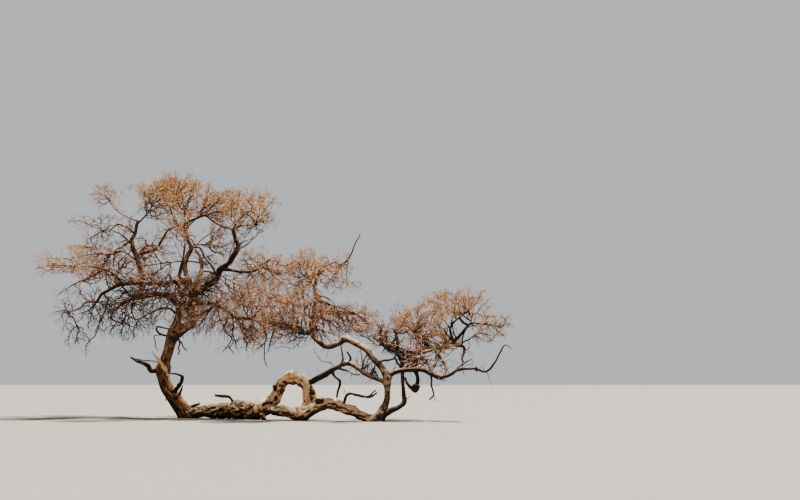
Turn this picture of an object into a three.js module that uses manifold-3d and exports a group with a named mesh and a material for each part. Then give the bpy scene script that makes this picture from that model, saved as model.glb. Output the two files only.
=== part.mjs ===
// A sprawling acacia, dry and thinly leaved, on a flat desert plain.
// One leaning trunk and one log that lies along the ground rise from the same foot. The log loops up in
// a pale arch, humps once and strikes again at a second stem, and three thin crowns stand over it all.
// Units are millimetres, +Z is up, and the origin is the middle of the flat cut under the trunk.
import * as THREE from "three";
import { mergeVertices } from "three/addons/utils/BufferGeometryUtils.js";
import Module from "manifold-3d";

const wasm = await Module();
wasm.setup();

// Where a viewer stands who sees the tree from the front: to the right of the foot, out in front of it,
// and up. SIGHT_TILT is how far the view is tipped up, and SIGHT_LENGTH how far off the picture lies.
const EYE = new THREE.Vector3(6360, -30400, 1100);
const SIGHT_TILT = THREE.MathUtils.degToRad(7.463);
const SIGHT_LENGTH = 30000;
const SIGHT_CENTRE = [6360, 5040];

const CLEARANCE = 0.3;
const SEED = 7;
const GROWTH_TRIES = 12;

// Twigs and leaves. A leaf here stands for a whole spray of the small leaves of a real acacia.
const TWIG_TIP = 8;
const TWIG_STEP = 520;
const TWIG_SIDES = 3;
const PIPE_POWER = 2.4;
const WAY_BACK = 0.35;
const LEAF = { length: 470, width: 185, thickness: 11, widest: 0.45 };
const LEAF_TRIES = 6;
const SHORTEST_TWIG = 150;
const ROOM_MARGIN = 14;
const JOIN_BACK = 0.5;
const JOIN_THIN = 0.4;
const FINENESS = 2;

// Each limb is one tapering tube. Its route is read as the viewer sees it: [to the right of the foot,
// up, behind the foot]. Radii are spread evenly along the route, and a flare widens only the start.
// Snags are short dead branches that belong to the limb.
const LIMBS = [
  {
    name: "trunk",
    bark: "dark",
    flare: 95,
    route: [
      [10, -160, 0], [-60, 110, 0], [-270, 370, 0], [-560, 800, 20], [-735, 1230, 40],
      [-700, 1620, 50], [-540, 2110, 80], [-450, 2480, 100], [-370, 2640, 110],
    ],
    radii: [215, 205, 195, 182, 150, 150, 172],
    snags: [
      { route: [[-640, 1330, -60], [-860, 1734, -190], [-1080, 1990, -230]], radii: [46, 12] },
      {
        route: [[-440, 780, -60], [-240, 1010, -200], [-170, 1250, -240], [-380, 1310, -260]],
        radii: [50, 16],
      },
      { route: [[-500, 2560, 60], [-700, 2690, -60], [-920, 2705, -120]], radii: [26, 12] },
      {
        route: [[-420, 2450, 0], [-240, 2300, -150], [-215, 2100, -170], [-265, 1890, -180]],
        radii: [22, 8],
      },
    ],
  },
  {
    name: "dead_fork",
    bark: "pale",
    route: [
      [-700, 1480, 40], [-1110, 1420, 0], [-1200, 1570, -10],
      [-1510, 1700, -40], [-1720, 1820, -60],
    ],
    radii: [95, 72, 66, 54, 26],
  },
  {
    name: "fork_left",
    bark: "dark",
    route: [
      [-400, 2520, 100], [-310, 2960, 60], [-275, 3290, 20],
      [-420, 3540, -10], [-590, 3680, -40],
    ],
    radii: [140, 112, 100, 94],
  },
  {
    name: "low_bough",
    bark: "dark",
    route: [
      [-480, 3620, -20], [-760, 3690, -60], [-1110, 3680, -90],
      [-1440, 3650, -120], [-1720, 3550, -150],
    ],
    radii: [92, 84, 80, 56],
  },
  {
    name: "fork_right",
    bark: "dark",
    route: [
      [-380, 2560, 110], [-90, 2690, 170], [115, 2820, 190], [145, 3060, 160],
      [115, 3320, 110], [180, 3620, 60], [110, 3900, 40], [-30, 4130, 30],
    ],
    radii: [140, 132, 112, 98, 92, 82],
  },
  {
    name: "left_bough",
    bark: "dark",
    route: [
      [-20, 4060, 30], [-400, 4090, -80], [-840, 4050, -200], [-1500, 4040, -340],
      [-2000, 4000, -460], [-2320, 3870, -540], [-2570, 3730, -600], [-2740, 3480, -640],
    ],
    radii: [74, 66, 60, 56, 48, 38],
  },
  {
    name: "left_upright",
    bark: "dark",
    route: [
      [-1440, 3650, -110], [-1360, 4030, -60], [-1450, 4530, 40], [-1560, 4860, 120], [-1660, 5150, 180],
      [-1690, 5340, 200], [-1600, 5530, 220], [-1530, 5800, 240], [-1490, 5940, 250],
    ],
    radii: [88, 84, 80, 72, 56, 42],
  },
  {
    name: "centre_upright",
    bark: "dark",
    route: [
      [-20, 4080, 30], [-95, 4560, 120], [-20, 4860, 180], [90, 5080, 220],
      [30, 5270, 240], [-90, 5530, 260], [-90, 5810, 270],
    ],
    radii: [80, 76, 68, 56, 44],
  },
  {
    name: "right_upright",
    bark: "dark",
    route: [
      [150, 3640, 60], [520, 3930, -40], [870, 4210, -140], [960, 4460, -180], [1210, 4640, -220],
      [1390, 4900, -260], [1500, 5150, -290], [1410, 5410, -310], [1350, 5670, -320],
    ],
    radii: [90, 84, 86, 78, 66, 46],
  },
  {
    name: "right_arm",
    bark: "dark",
    route: [
      [930, 4440, -170], [1250, 4440, -260], [1630, 4380, -380],
      [2020, 4430, -500], [2110, 4560, -560],
    ],
    radii: [50, 44, 42, 32],
  },
  {
    name: "right_lower",
    bark: "dark",
    route: [
      [130, 3430, 90], [480, 3450, -150], [800, 3420, -350], [1200, 3200, -560],
      [1470, 3010, -700], [1880, 2960, -880],
    ],
    radii: [62, 54, 48, 42, 32],
  },
  {
    name: "front_bough",
    bark: "dark",
    route: [
      [120, 3180, 130], [-60, 3420, -300], [-260, 3900, -820],
      [-240, 4350, -1260], [-160, 4700, -1560],
    ],
    radii: [78, 66, 54, 42],
  },
  {
    name: "back_bough",
    bark: "dark",
    route: [[130, 3800, 40], [330, 4180, 480], [420, 4560, 1000], [340, 4860, 1460], [240, 5020, 1720]],
    radii: [78, 66, 54, 42],
  },
  {
    name: "ground_log",
    bark: "pale",
    route: [
      [-20, 110, 0], [400, 150, -220], [900, 200, -450],
      [1400, 215, -720], [1850, 235, -980], [2160, 235, -1160],
    ],
    radii: [150, 165, 215, 232, 275, 215],
    snags: [
      { route: [[1340, 330, -720], [1290, 560, -800], [1060, 670, -860], [810, 690, -900]], radii: [48, 22] },
    ],
  },
  {
    name: "arch_left",
    bark: "pale",
    route: [
      [2080, 260, -1120], [2330, 430, -1190], [2590, 590, -1240], [2730, 810, -1290],
      [2820, 1010, -1340], [2980, 1160, -1400], [3190, 1210, -1450],
    ],
    radii: [200, 165, 158, 162, 162, 150],
    snags: [{ route: [[2740, 880, -1300], [2570, 905, -1320]], radii: [70, 58] }],
  },
  {
    name: "log_curl",
    bark: "pale",
    route: [
      [2320, -110, -1440], [2190, 150, -1480], [2230, 410, -1460],
      [2420, 505, -1400], [2640, 470, -1300],
    ],
    radii: [72, 76, 84, 92],
  },
  {
    name: "arch_front_leg",
    bark: "pale",
    route: [
      [3150, 1215, -1440], [3380, 1150, -1510], [3520, 1000, -1580], [3530, 730, -1650],
      [3540, 480, -1720], [3440, 300, -1790], [3290, 190, -1830],
    ],
    radii: [150, 128, 112, 102, 98, 88],
  },
  {
    name: "arch_back_leg",
    bark: "pale",
    route: [
      [3330, 1110, -1480], [3590, 980, -1400], [3730, 750, -1340], [3760, 520, -1350],
      [3700, 330, -1430], [3620, 130, -1520],
    ],
    radii: [118, 112, 102, 98, 104],
  },
  {
    name: "log_middle",
    bark: "pale",
    route: [
      [2130, 220, -1180], [2440, 250, -1400], [2760, 205, -1620],
      [3130, 130, -1780], [3440, 90, -1880],
    ],
    radii: [140, 138, 148, 160, 165],
  },
  {
    name: "log_hump",
    bark: "pale",
    route: [
      [3380, 90, -1870], [3660, 190, -1940], [3920, 340, -2010], [4190, 450, -2080], [4450, 415, -2160],
      [4720, 300, -2260], [5040, 160, -2380], [5340, 40, -2500], [5620, -40, -2610],
    ],
    radii: [165, 156, 154, 150, 138, 120, 112],
    snags: [
      {
        route: [
          [4690, 320, -2250], [4830, 700, -2330], [4990, 720, -2360],
          [5290, 630, -2400], [5660, 720, -2420],
        ],
        radii: [36, 14],
      },
    ],
  },
  {
    name: "right_trunk",
    bark: "grey",
    flare: 62,
    route: [
      [5660, -230, -2640], [5730, 10, -2620], [5850, 250, -2600], [5960, 520, -2570],
      [5985, 800, -2550], [5980, 1060, -2530], [5990, 1280, -2510],
    ],
    radii: [135, 108, 84, 78, 80, 92],
  },
  {
    name: "right_stem",
    bark: "grey",
    route: [
      [5790, 60, -2610], [6120, 235, -2560], [6310, 320, -2520], [6480, 450, -2480], [6480, 690, -2440],
      [6450, 970, -2400], [6440, 1290, -2350], [6440, 1700, -2300], [6460, 1940, -2270],
    ],
    radii: [92, 76, 68, 54, 50, 46, 36],
    snags: [
      { route: [[6450, 1850, -2290], [6470, 2020, -2330], [6560, 2120, -2350]], radii: [24, 10] },
    ],
  },
  {
    name: "pale_bough",
    bark: "grey",
    route: [
      [5990, 1220, -2515], [5730, 1620, -2480], [5500, 1870, -2440], [5370, 2040, -2400],
      [5150, 2170, -2350], [4880, 2310, -2300], [4700, 2380, -2270],
    ],
    radii: [88, 84, 88, 84, 78],
  },
  {
    name: "pale_bough_end",
    bark: "grey",
    route: [
      [4730, 2380, -2275], [4480, 2210, -2230], [4200, 2130, -2180], [3980, 2250, -2130],
      [3760, 2460, -2080], [3700, 2720, -2040],
    ],
    radii: [77, 74, 70, 64, 58],
  },
  {
    name: "mid_upright",
    bark: "dark",
    route: [
      [3700, 2690, -2045], [3760, 3180, -1980], [3830, 3630, -1900],
      [3815, 4020, -1840], [3920, 4310, -1800],
    ],
    radii: [57, 52, 48, 38],
  },
  {
    name: "bridge_left",
    bark: "grey",
    route: [
      [3500, 990, -1560], [3730, 1110, -1640], [4080, 1280, -1800], [4380, 1470, -1960],
      [4650, 1620, -2100], [4810, 1655, -2185],
    ],
    radii: [74, 84, 84, 68, 62],
    snags: [
      {
        route: [
          [4250, 1400, -1890], [4500, 1190, -1990], [4560, 980, -2020],
          [4500, 800, -2050], [4455, 680, -2060],
        ],
        radii: [46, 28],
      },
      { route: [[4640, 1600, -2095], [4600, 1850, -2150], [4560, 2030, -2160]], radii: [24, 12] },
    ],
  },
  {
    name: "bridge_right",
    bark: "grey",
    route: [
      [5960, 1040, -2530], [5610, 1200, -2440], [5360, 1310, -2380], [5150, 1440, -2320],
      [4930, 1590, -2250], [4780, 1650, -2170],
    ],
    radii: [68, 60, 56, 56, 60],
  },
  {
    name: "right_bough",
    bark: "grey",
    route: [
      [5990, 1230, -2510], [6200, 1385, -2560], [6400, 1425, -2600], [6660, 1440, -2640],
      [6920, 1460, -2680], [7130, 1410, -2720], [7350, 1290, -2760], [7570, 1205, -2800],
    ],
    radii: [76, 62, 62, 62, 54],
    snags: [
      { route: [[7290, 1290, -2745], [7320, 910, -2790], [7360, 680, -2800], [7250, 500, -2790]], radii: [20, 7] },
    ],
  },
  {
    name: "right_bough_end",
    bark: "grey",
    route: [
      [7540, 1210, -2795], [7860, 1290, -2820], [8100, 1440, -2830], [8400, 1475, -2830], [8660, 1470, -2820],
      [8930, 1390, -2800], [9210, 1680, -2780], [9380, 2000, -2760], [9520, 2190, -2750], [9720, 2080, -2740],
    ],
    radii: [53, 42, 34, 30, 24, 10],
  },
  {
    name: "upper_right_bough",
    bark: "grey",
    route: [
      [6450, 1750, -2295], [6600, 1860, -2200], [6820, 1900, -2120], [7180, 2000, -2000],
      [7530, 2100, -1900], [7870, 2160, -1820], [8200, 2185, -1780],
    ],
    radii: [46, 50, 54, 60, 54],
    snags: [
      {
        route: [[7500, 2080, -1910], [7690, 1760, -2080], [7770, 1460, -2240], [7660, 1330, -2360]],
        radii: [32, 14],
      },
      {
        route: [[8140, 2160, -1790], [8250, 1930, -1900], [8240, 1640, -2060], [8330, 1500, -2140]],
        radii: [30, 12],
      },
    ],
  },
  {
    name: "hook",
    bark: "grey",
    route: [
      [6800, 1440, -2660], [6890, 1230, -2700], [6860, 990, -2730], [6780, 860, -2740],
      [6650, 960, -2740], [6550, 1090, -2730], [6520, 1220, -2720],
    ],
    radii: [54, 50, 60, 44, 26],
  },
];

// Each mass of twigs and leaves fills its own room: an egg-shaped space round its heart, less what lies
// nearer to another heart. Its stem leaves the bough at a share of the bough's length.
const MASSES = [
  {
    name: "tuft_left", tint: "golden", tips: 7, leaves: 6, droop: 0,
    bough: "left_upright", leave: 0.985, via: [[-1830, 6030, 320], [-2130, 6220, 400]],
    heart: [-2400, 6560, 500], reach: [620, 520, 620],
  },
  {
    name: "top_left", tint: "golden", tips: 11, leaves: 10, droop: 0,
    bough: "left_upright", leave: 0.94, via: [[-1180, 6190, -60]],
    heart: [-960, 6600, -600], reach: [900, 720, 1000],
  },
  {
    name: "top", tint: "golden", tips: 12, leaves: 11, droop: 0,
    bough: "centre_upright", leave: 1, via: [[-100, 6150, 300]],
    heart: [-200, 6760, 350], reach: [820, 820, 1100],
  },
  {
    name: "top_right", tint: "golden", tips: 11, leaves: 10, droop: 0,
    bough: "centre_upright", leave: 0.9, via: [[240, 5970, 400], [520, 6120, 560]],
    heart: [870, 6500, 800], reach: [860, 760, 1100],
  },
  {
    name: "right_shoulder", tint: "golden", tips: 12, leaves: 10, droop: 0,
    bough: "right_upright", leave: 1, via: [[1500, 5900, -450]],
    heart: [1880, 6230, -850], reach: [900, 900, 1050],
  },
  {
    name: "left_upper", tint: "rusty", tips: 11, leaves: 9, droop: 0,
    bough: "left_upright", leave: 0.66, via: [[-1930, 5450, -60]],
    heart: [-2460, 5720, -450], reach: [1000, 720, 950],
  },
  {
    name: "far_left", tint: "golden", tips: 12, leaves: 10, droop: 0.1,
    bough: "left_bough", leave: 0.66, via: [[-2160, 4270, -560], [-2640, 4500, -680]],
    heart: [-3720, 4540, -950], reach: [1150, 640, 950],
  },
  {
    name: "near_left", tint: "rusty", tips: 9, leaves: 8, droop: 0.1,
    bough: "left_upright", leave: 0.44, via: [[-1980, 5000, 520]],
    heart: [-2560, 4850, 1150], reach: [900, 560, 950],
  },
  {
    name: "left_droop", tint: "dark", tips: 13, leaves: 6, droop: 0.3,
    bough: "left_bough", leave: 1, via: [[-2950, 3250, -800]],
    heart: [-3280, 3120, -1050], reach: [1150, 1050, 1000],
  },
  {
    name: "low_droop", tint: "dark", tips: 12, leaves: 5, droop: 0.3,
    bough: "low_bough", leave: 1, via: [[-1870, 3330, 100]],
    heart: [-1850, 3080, 550], reach: [1000, 900, 950],
  },
  {
    name: "inner_left", tint: "rusty", tips: 10, leaves: 6, droop: 0,
    bough: "left_upright", leave: 0.5, via: [[-1290, 5130, -300]],
    heart: [-820, 5150, -950], reach: [900, 900, 950],
  },
  {
    name: "inner_right", tint: "rusty", tips: 9, leaves: 6, droop: 0,
    bough: "centre_upright", leave: 0.62, via: [[330, 5200, 420]],
    heart: [650, 5200, 850], reach: [820, 800, 900],
  },
  {
    name: "heart_tangle", tint: "dark", tips: 11, leaves: 1, droop: 0.1,
    bough: "fork_right", leave: 0.8, via: [],
    heart: [350, 3800, -450], reach: [800, 600, 600],
  },
  {
    name: "right_droop", tint: "dark", tips: 12, leaves: 8, droop: 0.3,
    bough: "right_lower", leave: 0.42, via: [[930, 3080, -480]],
    heart: [1000, 2830, -800], reach: [1050, 950, 900],
  },
  {
    name: "front_low", tint: "dark", tips: 11, leaves: 8, droop: 0.25,
    bough: "front_bough", leave: 0.62, via: [[-520, 4000, -1400]],
    heart: [-780, 3700, -2050], reach: [1100, 900, 950],
  },
  {
    name: "front_high", tint: "golden", tips: 12, leaves: 10, droop: 0,
    bough: "front_bough", leave: 1, via: [],
    heart: [-80, 5130, -2000], reach: [1150, 1000, 1000],
  },
  {
    name: "back_high", tint: "golden", tips: 12, leaves: 10, droop: 0,
    bough: "back_bough", leave: 1, via: [],
    heart: [200, 5450, 2150], reach: [1200, 1000, 1000],
  },
  {
    name: "back_left", tint: "rusty", tips: 11, leaves: 9, droop: 0.15,
    bough: "back_bough", leave: 0.66, via: [[-200, 4700, 1400]],
    heart: [-1400, 4550, 1900], reach: [1150, 950, 950],
  },
  {
    name: "back_right", tint: "rusty", tips: 11, leaves: 9, droop: 0.25,
    bough: "back_bough", leave: 0.45, via: [[800, 4350, 1150]],
    heart: [1480, 4000, 1500], reach: [1050, 950, 950],
  },
  {
    name: "mid_left_top", tint: "golden", tips: 12, leaves: 10, droop: 0,
    bough: "right_arm", leave: 1, via: [[2200, 4640, -450]],
    heart: [2380, 4700, -250], reach: [1000, 900, 1050],
  },
  {
    name: "mid_left", tint: "rusty", tips: 12, leaves: 9, droop: 0.25,
    bough: "right_lower", leave: 1, via: [],
    heart: [2250, 3280, -1250], reach: [1000, 950, 1000],
  },
  {
    name: "mid_top", tint: "golden", tips: 12, leaves: 10, droop: 0,
    bough: "mid_upright", leave: 0.72, via: [[3640, 4200, -1500]],
    heart: [3330, 4620, -900], reach: [950, 900, 1100],
  },
  {
    name: "mid_right_top", tint: "golden", tips: 12, leaves: 10, droop: 0,
    bough: "mid_upright", leave: 1, via: [[4170, 4470, -2100]],
    heart: [4620, 4600, -2600], reach: [950, 900, 1100],
  },
  {
    name: "mid_low", tint: "rusty", tips: 12, leaves: 9, droop: 0.2,
    bough: "pale_bough_end", leave: 0.9, via: [[3430, 2560, -2300]],
    heart: [3080, 3060, -2650], reach: [1000, 900, 1100],
  },
  {
    name: "mid_right", tint: "rusty", tips: 11, leaves: 9, droop: 0.1,
    bough: "mid_upright", leave: 0.3, via: [[4200, 3200, -1750]],
    heart: [4780, 3080, -1300], reach: [1050, 620, 1050],
  },
  {
    name: "right_left", tint: "rusty", tips: 11, leaves: 9, droop: 0,
    bough: "right_stem", leave: 1, via: [[6210, 2090, -2400], [5870, 2180, -2600], [5770, 2430, -2750]],
    heart: [5880, 2860, -2900], reach: [950, 720, 1050],
  },
  {
    name: "right_mid", tint: "golden", tips: 11, leaves: 10, droop: 0,
    bough: "upper_right_bough", leave: 0.46, via: [[6970, 2400, -1800], [6800, 2580, -1500]],
    heart: [6960, 3020, -1200], reach: [900, 760, 1050],
  },
  {
    name: "right_top", tint: "golden", tips: 12, leaves: 11, droop: 0,
    bough: "upper_right_bough", leave: 0.92, via: [[7900, 2440, -1800], [7880, 2720, -1750]],
    heart: [8030, 3330, -1650], reach: [1000, 850, 1100],
  },
  {
    name: "right_end", tint: "golden", tips: 10, leaves: 10, droop: 0.1,
    bough: "upper_right_bough", leave: 1, via: [[8260, 2480, -1950], [8400, 2720, -2150]],
    heart: [8990, 2850, -2500], reach: [900, 620, 950],
  },
];

const BARK = {
  dark: new THREE.MeshStandardMaterial({ color: 0x4a3629, roughness: 0.95, metalness: 0 }),
  grey: new THREE.MeshStandardMaterial({ color: 0x8a7560, roughness: 0.9, metalness: 0 }),
  pale: new THREE.MeshStandardMaterial({ color: 0xb9a283, roughness: 0.9, metalness: 0 }),
};
const FOLIAGE = {
  golden: new THREE.MeshStandardMaterial({ color: 0xb87c34, roughness: 0.85, metalness: 0 }),
  rusty: new THREE.MeshStandardMaterial({ color: 0x9c6636, roughness: 0.85, metalness: 0 }),
  dark: new THREE.MeshStandardMaterial({ color: 0x5e4430, roughness: 0.9, metalness: 0 }),
};

// A point that the viewer sees at [across, up], carried along the line of sight to its true depth.
function seen([across, up, back]) {
  const right = across - SIGHT_CENTRE[0];
  const above = up - SIGHT_CENTRE[1];
  const ray = new THREE.Vector3(
    right,
    SIGHT_LENGTH * Math.cos(SIGHT_TILT) - above * Math.sin(SIGHT_TILT),
    SIGHT_LENGTH * Math.sin(SIGHT_TILT) + above * Math.cos(SIGHT_TILT),
  );
  return ray.multiplyScalar((back - EYE.y) / ray.y).add(EYE);
}

// A run of numbers from 0 to 1 that is the same each time for one seed.
function dealer(seed) {
  let state = seed;
  return () => {
    state = (state + 0x6d2b79f5) | 0;
    let mixed = Math.imul(state ^ (state >>> 15), 1 | state);
    mixed = (mixed + Math.imul(mixed ^ (mixed >>> 7), 61 | mixed)) ^ mixed;
    return ((mixed ^ (mixed >>> 14)) >>> 0) / 4294967296;
  };
}

function spread(values, share) {
  const place = share * (values.length - 1);
  const before = Math.min(Math.floor(place), values.length - 2);
  return THREE.MathUtils.lerp(values[before], values[before + 1], place - before);
}

// A closed solid from a geometry. Where a ring shrinks to a point, its empty triangles are left out.
function solidFrom(geometry) {
  geometry.deleteAttribute("normal");
  geometry.deleteAttribute("uv");
  const merged = mergeVertices(geometry, 1e-3);
  const corners = merged.index.array;
  const kept = [];
  for (let i = 0; i < corners.length; i += 3) {
    const [a, b, c] = corners.slice(i, i + 3);
    if (a !== b && b !== c && c !== a) kept.push(a, b, c);
  }
  return new wasm.Manifold(
    new wasm.Mesh({
      numProp: 3,
      vertProperties: merged.attributes.position.array,
      triVerts: new Uint32Array(kept),
    }),
  );
}

// Directions across a chain of points, turned no more than the chain itself turns after the first roll.
function framesAlong(points, roll) {
  const frames = [];
  let normal = null;
  points.forEach((point, k) => {
    const tangent = points[Math.min(k + 1, points.length - 1)].clone();
    tangent.sub(points[Math.max(k - 1, 0)]).normalize();
    if (!normal) {
      const aside = Math.abs(tangent.z) < 0.9 ? new THREE.Vector3(0, 0, 1) : new THREE.Vector3(0, 1, 0);
      normal = new THREE.Vector3().crossVectors(tangent, aside).applyAxisAngle(tangent, roll);
    }
    normal.addScaledVector(tangent, -normal.dot(tangent)).normalize();
    frames.push({ normal: normal.clone(), side: new THREE.Vector3().crossVectors(normal, tangent) });
  });
  return frames;
}

// A closed cylinder bent along a chain of points. Each ring has its own radius, or its own half width
// and half thickness where it is flattened into a leaf.
function tube(points, radii, sides, roll = 0) {
  const steps = points.length - 1;
  const geometry = new THREE.CylinderGeometry(1, 1, 1, sides, steps);
  const frames = framesAlong(points, roll);
  const places = geometry.attributes.position;
  const corner = new THREE.Vector3();
  for (let i = 0; i < places.count; i += 1) {
    corner.fromBufferAttribute(places, i);
    const k = Math.round((corner.y + 0.5) * steps);
    const [wide, thick = wide] = [radii[k]].flat();
    const placed = points[k].clone();
    placed.addScaledVector(frames[k].normal, corner.x * wide);
    placed.addScaledVector(frames[k].side, corner.z * thick);
    places.setXYZ(i, placed.x, placed.y, placed.z);
  }
  return solidFrom(geometry);
}

// The rings of a limb or snag: evenly spaced points on a smooth curve, and the radius at each.
function ringsOf({ route, radii, flare = 0 }) {
  const curve = new THREE.CatmullRomCurve3(route.map(seen), false, "centripetal");
  const length = curve.getLength();
  const widest = Math.max(...radii);
  const steps = THREE.MathUtils.clamp(Math.round(length / (widest * 3.4)), route.length - 1, 11);
  const points = [];
  const girths = [];
  for (let k = 0; k <= steps; k += 1) {
    const share = k / steps;
    points.push(curve.getPointAt(share));
    girths.push(spread(radii, share) + flare * Math.exp((-share * length) / (1.6 * widest)));
  }
  const sides = [40, 100].filter((size) => widest > size).length * 2 + 4;
  return { points, girths, sides };
}

// The same limb a little larger all round, to cut its neighbours clear of it.
function grownLimb({ points, girths, sides }) {
  const ends = points.map((point) => point.clone());
  const last = ends.length - 1;
  ends[0].addScaledVector(points[0].clone().sub(points[1]).normalize(), CLEARANCE);
  ends[last].addScaledVector(points[last].clone().sub(points[last - 1]).normalize(), CLEARANCE);
  const slack = CLEARANCE / Math.cos(Math.PI / sides);
  return tube(ends, girths.map((girth) => girth + slack), sides);
}

function largestBody(solid) {
  return solid.decompose().sort((a, b) => b.volume() - a.volume())[0];
}

function boxesMeet(a, b) {
  const first = a.boundingBox();
  const second = b.boundingBox();
  return [0, 1, 2].every((i) => first.min[i] <= second.max[i] && second.min[i] <= first.max[i]);
}

function clearOf(solid, others) {
  return others.filter((other) => boxesMeet(solid, other)).reduce((left, other) => left.subtract(other), solid);
}

// A limb with its snags, cut clear of the limbs before it and flat at the ground.
function makeLimb(limb, earlier) {
  const rings = [ringsOf(limb), ...(limb.snags ?? []).map(ringsOf)];
  const joined = wasm.Manifold.union(rings.map((ring) => tube(ring.points, ring.girths, ring.sides)));
  const solid = largestBody(clearOf(joined, earlier).trimByPlane([0, 0, 1], 0));
  return { limb, rings, solid, grown: rings.map(grownLimb) };
}

function segmentGap(a, b, c, d) {
  const u = b.clone().sub(a);
  const v = d.clone().sub(c);
  const w = a.clone().sub(c);
  const uu = u.dot(u);
  const uv = u.dot(v);
  const vv = v.dot(v);
  const denominator = uu * vv - uv * uv;
  let s = denominator > 1e-9 ? THREE.MathUtils.clamp((uv * v.dot(w) - vv * u.dot(w)) / denominator, 0, 1) : 0;
  const t = THREE.MathUtils.clamp((uv * s + v.dot(w)) / Math.max(vv, 1e-9), 0, 1);
  s = THREE.MathUtils.clamp((uv * t - u.dot(w)) / Math.max(uu, 1e-9), 0, 1);
  return w.addScaledVector(u, s).addScaledVector(v, -t).length();
}

// Every stretch of a limb or of a stem, as a capsule that twigs and leaves keep clear of.
function capsulesOf(points, girths, owner) {
  return points.slice(1).map((end, k) => ({ a: points[k], b: end, radius: Math.max(girths[k], girths[k + 1]), owner }));
}

function touches(a, b, radius, capsules) {
  return capsules.some((capsule) => segmentGap(a, b, capsule.a, capsule.b) < capsule.radius + radius + ROOM_MARGIN);
}

// Places inside a mass's own room, at least a margin from its wall and from the rooms of the others.
function isInRoom(room, rooms, point, margin) {
  const share = point.clone().sub(room.heart).divide(room.reach.clone().subScalar(margin));
  if (share.length() > 1) return false;
  return rooms.every((other) => {
    if (other === room) return true;
    const own = point.distanceToSquared(room.heart) - room.size ** 2;
    const theirs = point.distanceToSquared(other.heart) - other.size ** 2;
    return (theirs - own) / (2 * room.heart.distanceTo(other.heart)) > margin;
  });
}

// Tips are dealt evenly through the room. Bare ones reach its wall, and those that will carry a leaf
// stop a leaf's length inside it.
function dealTips(room, rooms, deal) {
  const tips = [];
  const golden = Math.PI * (3 - Math.sqrt(5));
  const { tips: count, leaves } = room.mass;
  for (let k = 0; k < count; k += 1) {
    const height = 1 - (2 * (k + 0.5)) / count;
    const turn = golden * k + deal() * 0.5;
    const around = Math.sqrt(1 - height * height);
    const way = new THREE.Vector3(Math.cos(turn) * around, Math.sin(turn) * around, height);
    const leafy = k % 4 !== 3 && leaves > 0;
    const margin = ROOM_MARGIN + (leafy ? LEAF.length * 0.6 : TWIG_TIP);
    for (let share = 0.98; share > 0.25; share -= 0.06) {
      const tip = way.clone().multiply(room.reach).multiplyScalar(share).add(room.heart);
      if (isInRoom(room, rooms, tip, margin)) {
        tips.push(tip);
        break;
      }
    }
  }
  return tips;
}

// A twig leaves an older one a little in that one's own direction, then bends to its tip. Droop lifts
// its middle, so that the end hangs.
function chainTo(start, ahead, tip, droop, deal) {
  const length = start.distanceTo(tip);
  const steps = Math.max(1, Math.round(length / TWIG_STEP));
  const bend = start.clone().lerp(tip, 0.45).addScaledVector(ahead, 0.18 * length);
  bend.z += droop * length;
  const curve = new THREE.QuadraticBezierCurve3(start, bend, tip);
  const points = curve.getPoints(steps).slice(1);
  points.slice(0, -1).forEach((point) => {
    point.x += (deal() - 0.5) * 0.12 * length;
    point.y += (deal() - 0.5) * 0.12 * length;
    point.z += (deal() - 0.5) * 0.12 * length;
  });
  return points;
}

// The growing rule. Of the tips not yet reached, the one that costs least is joined next, where the cost
// is the way to an older twig and a part of the way from there back to the stem.
function growTwigs(room, rooms, stem, blocked, deal) {
  const joints = stem.points.map((place, k) => ({ place, before: k - 1, way: 0, tips: 0 }));
  joints.slice(1).forEach((joint, k) => {
    joint.way = joints[k].way + joint.place.distanceTo(joints[k].place);
  });
  const inside = (joint) => isInRoom(room, rooms, joint.place, 0);
  const first = Math.max(1, joints.findIndex(inside));
  let waiting = dealTips(room, rooms, deal);
  const tries = new Map();
  while (waiting.length) {
    let best = { cost: Infinity };
    waiting.forEach((tip) => {
      joints.forEach((joint, index) => {
        if (index < first) return;
        const cost = tip.distanceTo(joint.place) + WAY_BACK * joint.way;
        if (cost < best.cost) best = { cost, tip, index };
      });
    });
    const { tip, index } = best;
    waiting = waiting.filter((other) => other !== tip);
    const start = joints[index];
    const length = start.place.distanceTo(tip);
    const ahead = start.place.clone().sub(joints[Math.max(start.before, 0)].place).normalize();
    const chain = chainTo(start.place, ahead, tip, room.mass.droop, deal);
    const places = [start.place, ...chain];
    const leaves = chain.some((place) => !isInRoom(room, rooms, place, TWIG_TIP + ROOM_MARGIN));
    const hits = chain.some((place, k) => touches(places[k], place, TWIG_TIP * 1.6, blocked));
    if (length < SHORTEST_TWIG || leaves || hits) {
      const again = (tries.get(tip) ?? 0) + 1;
      const nearer = tip.clone().lerp(room.heart, 0.3);
      tries.set(nearer, again);
      if (length >= SHORTEST_TWIG && again < 3) waiting.push(nearer);
      continue;
    }
    let before = index;
    chain.forEach((place) => {
      joints.push({ place, before, way: joints[before].way + place.distanceTo(joints[before].place), tips: 0 });
      before = joints.length - 1;
    });
    for (let at = before; at >= 0; at = joints[at].before) joints[at].tips += 1;
  }
  return joints;
}

const girthFor = (tips) => TWIG_TIP * Math.max(tips, 1) ** (1 / PIPE_POWER);

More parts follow.
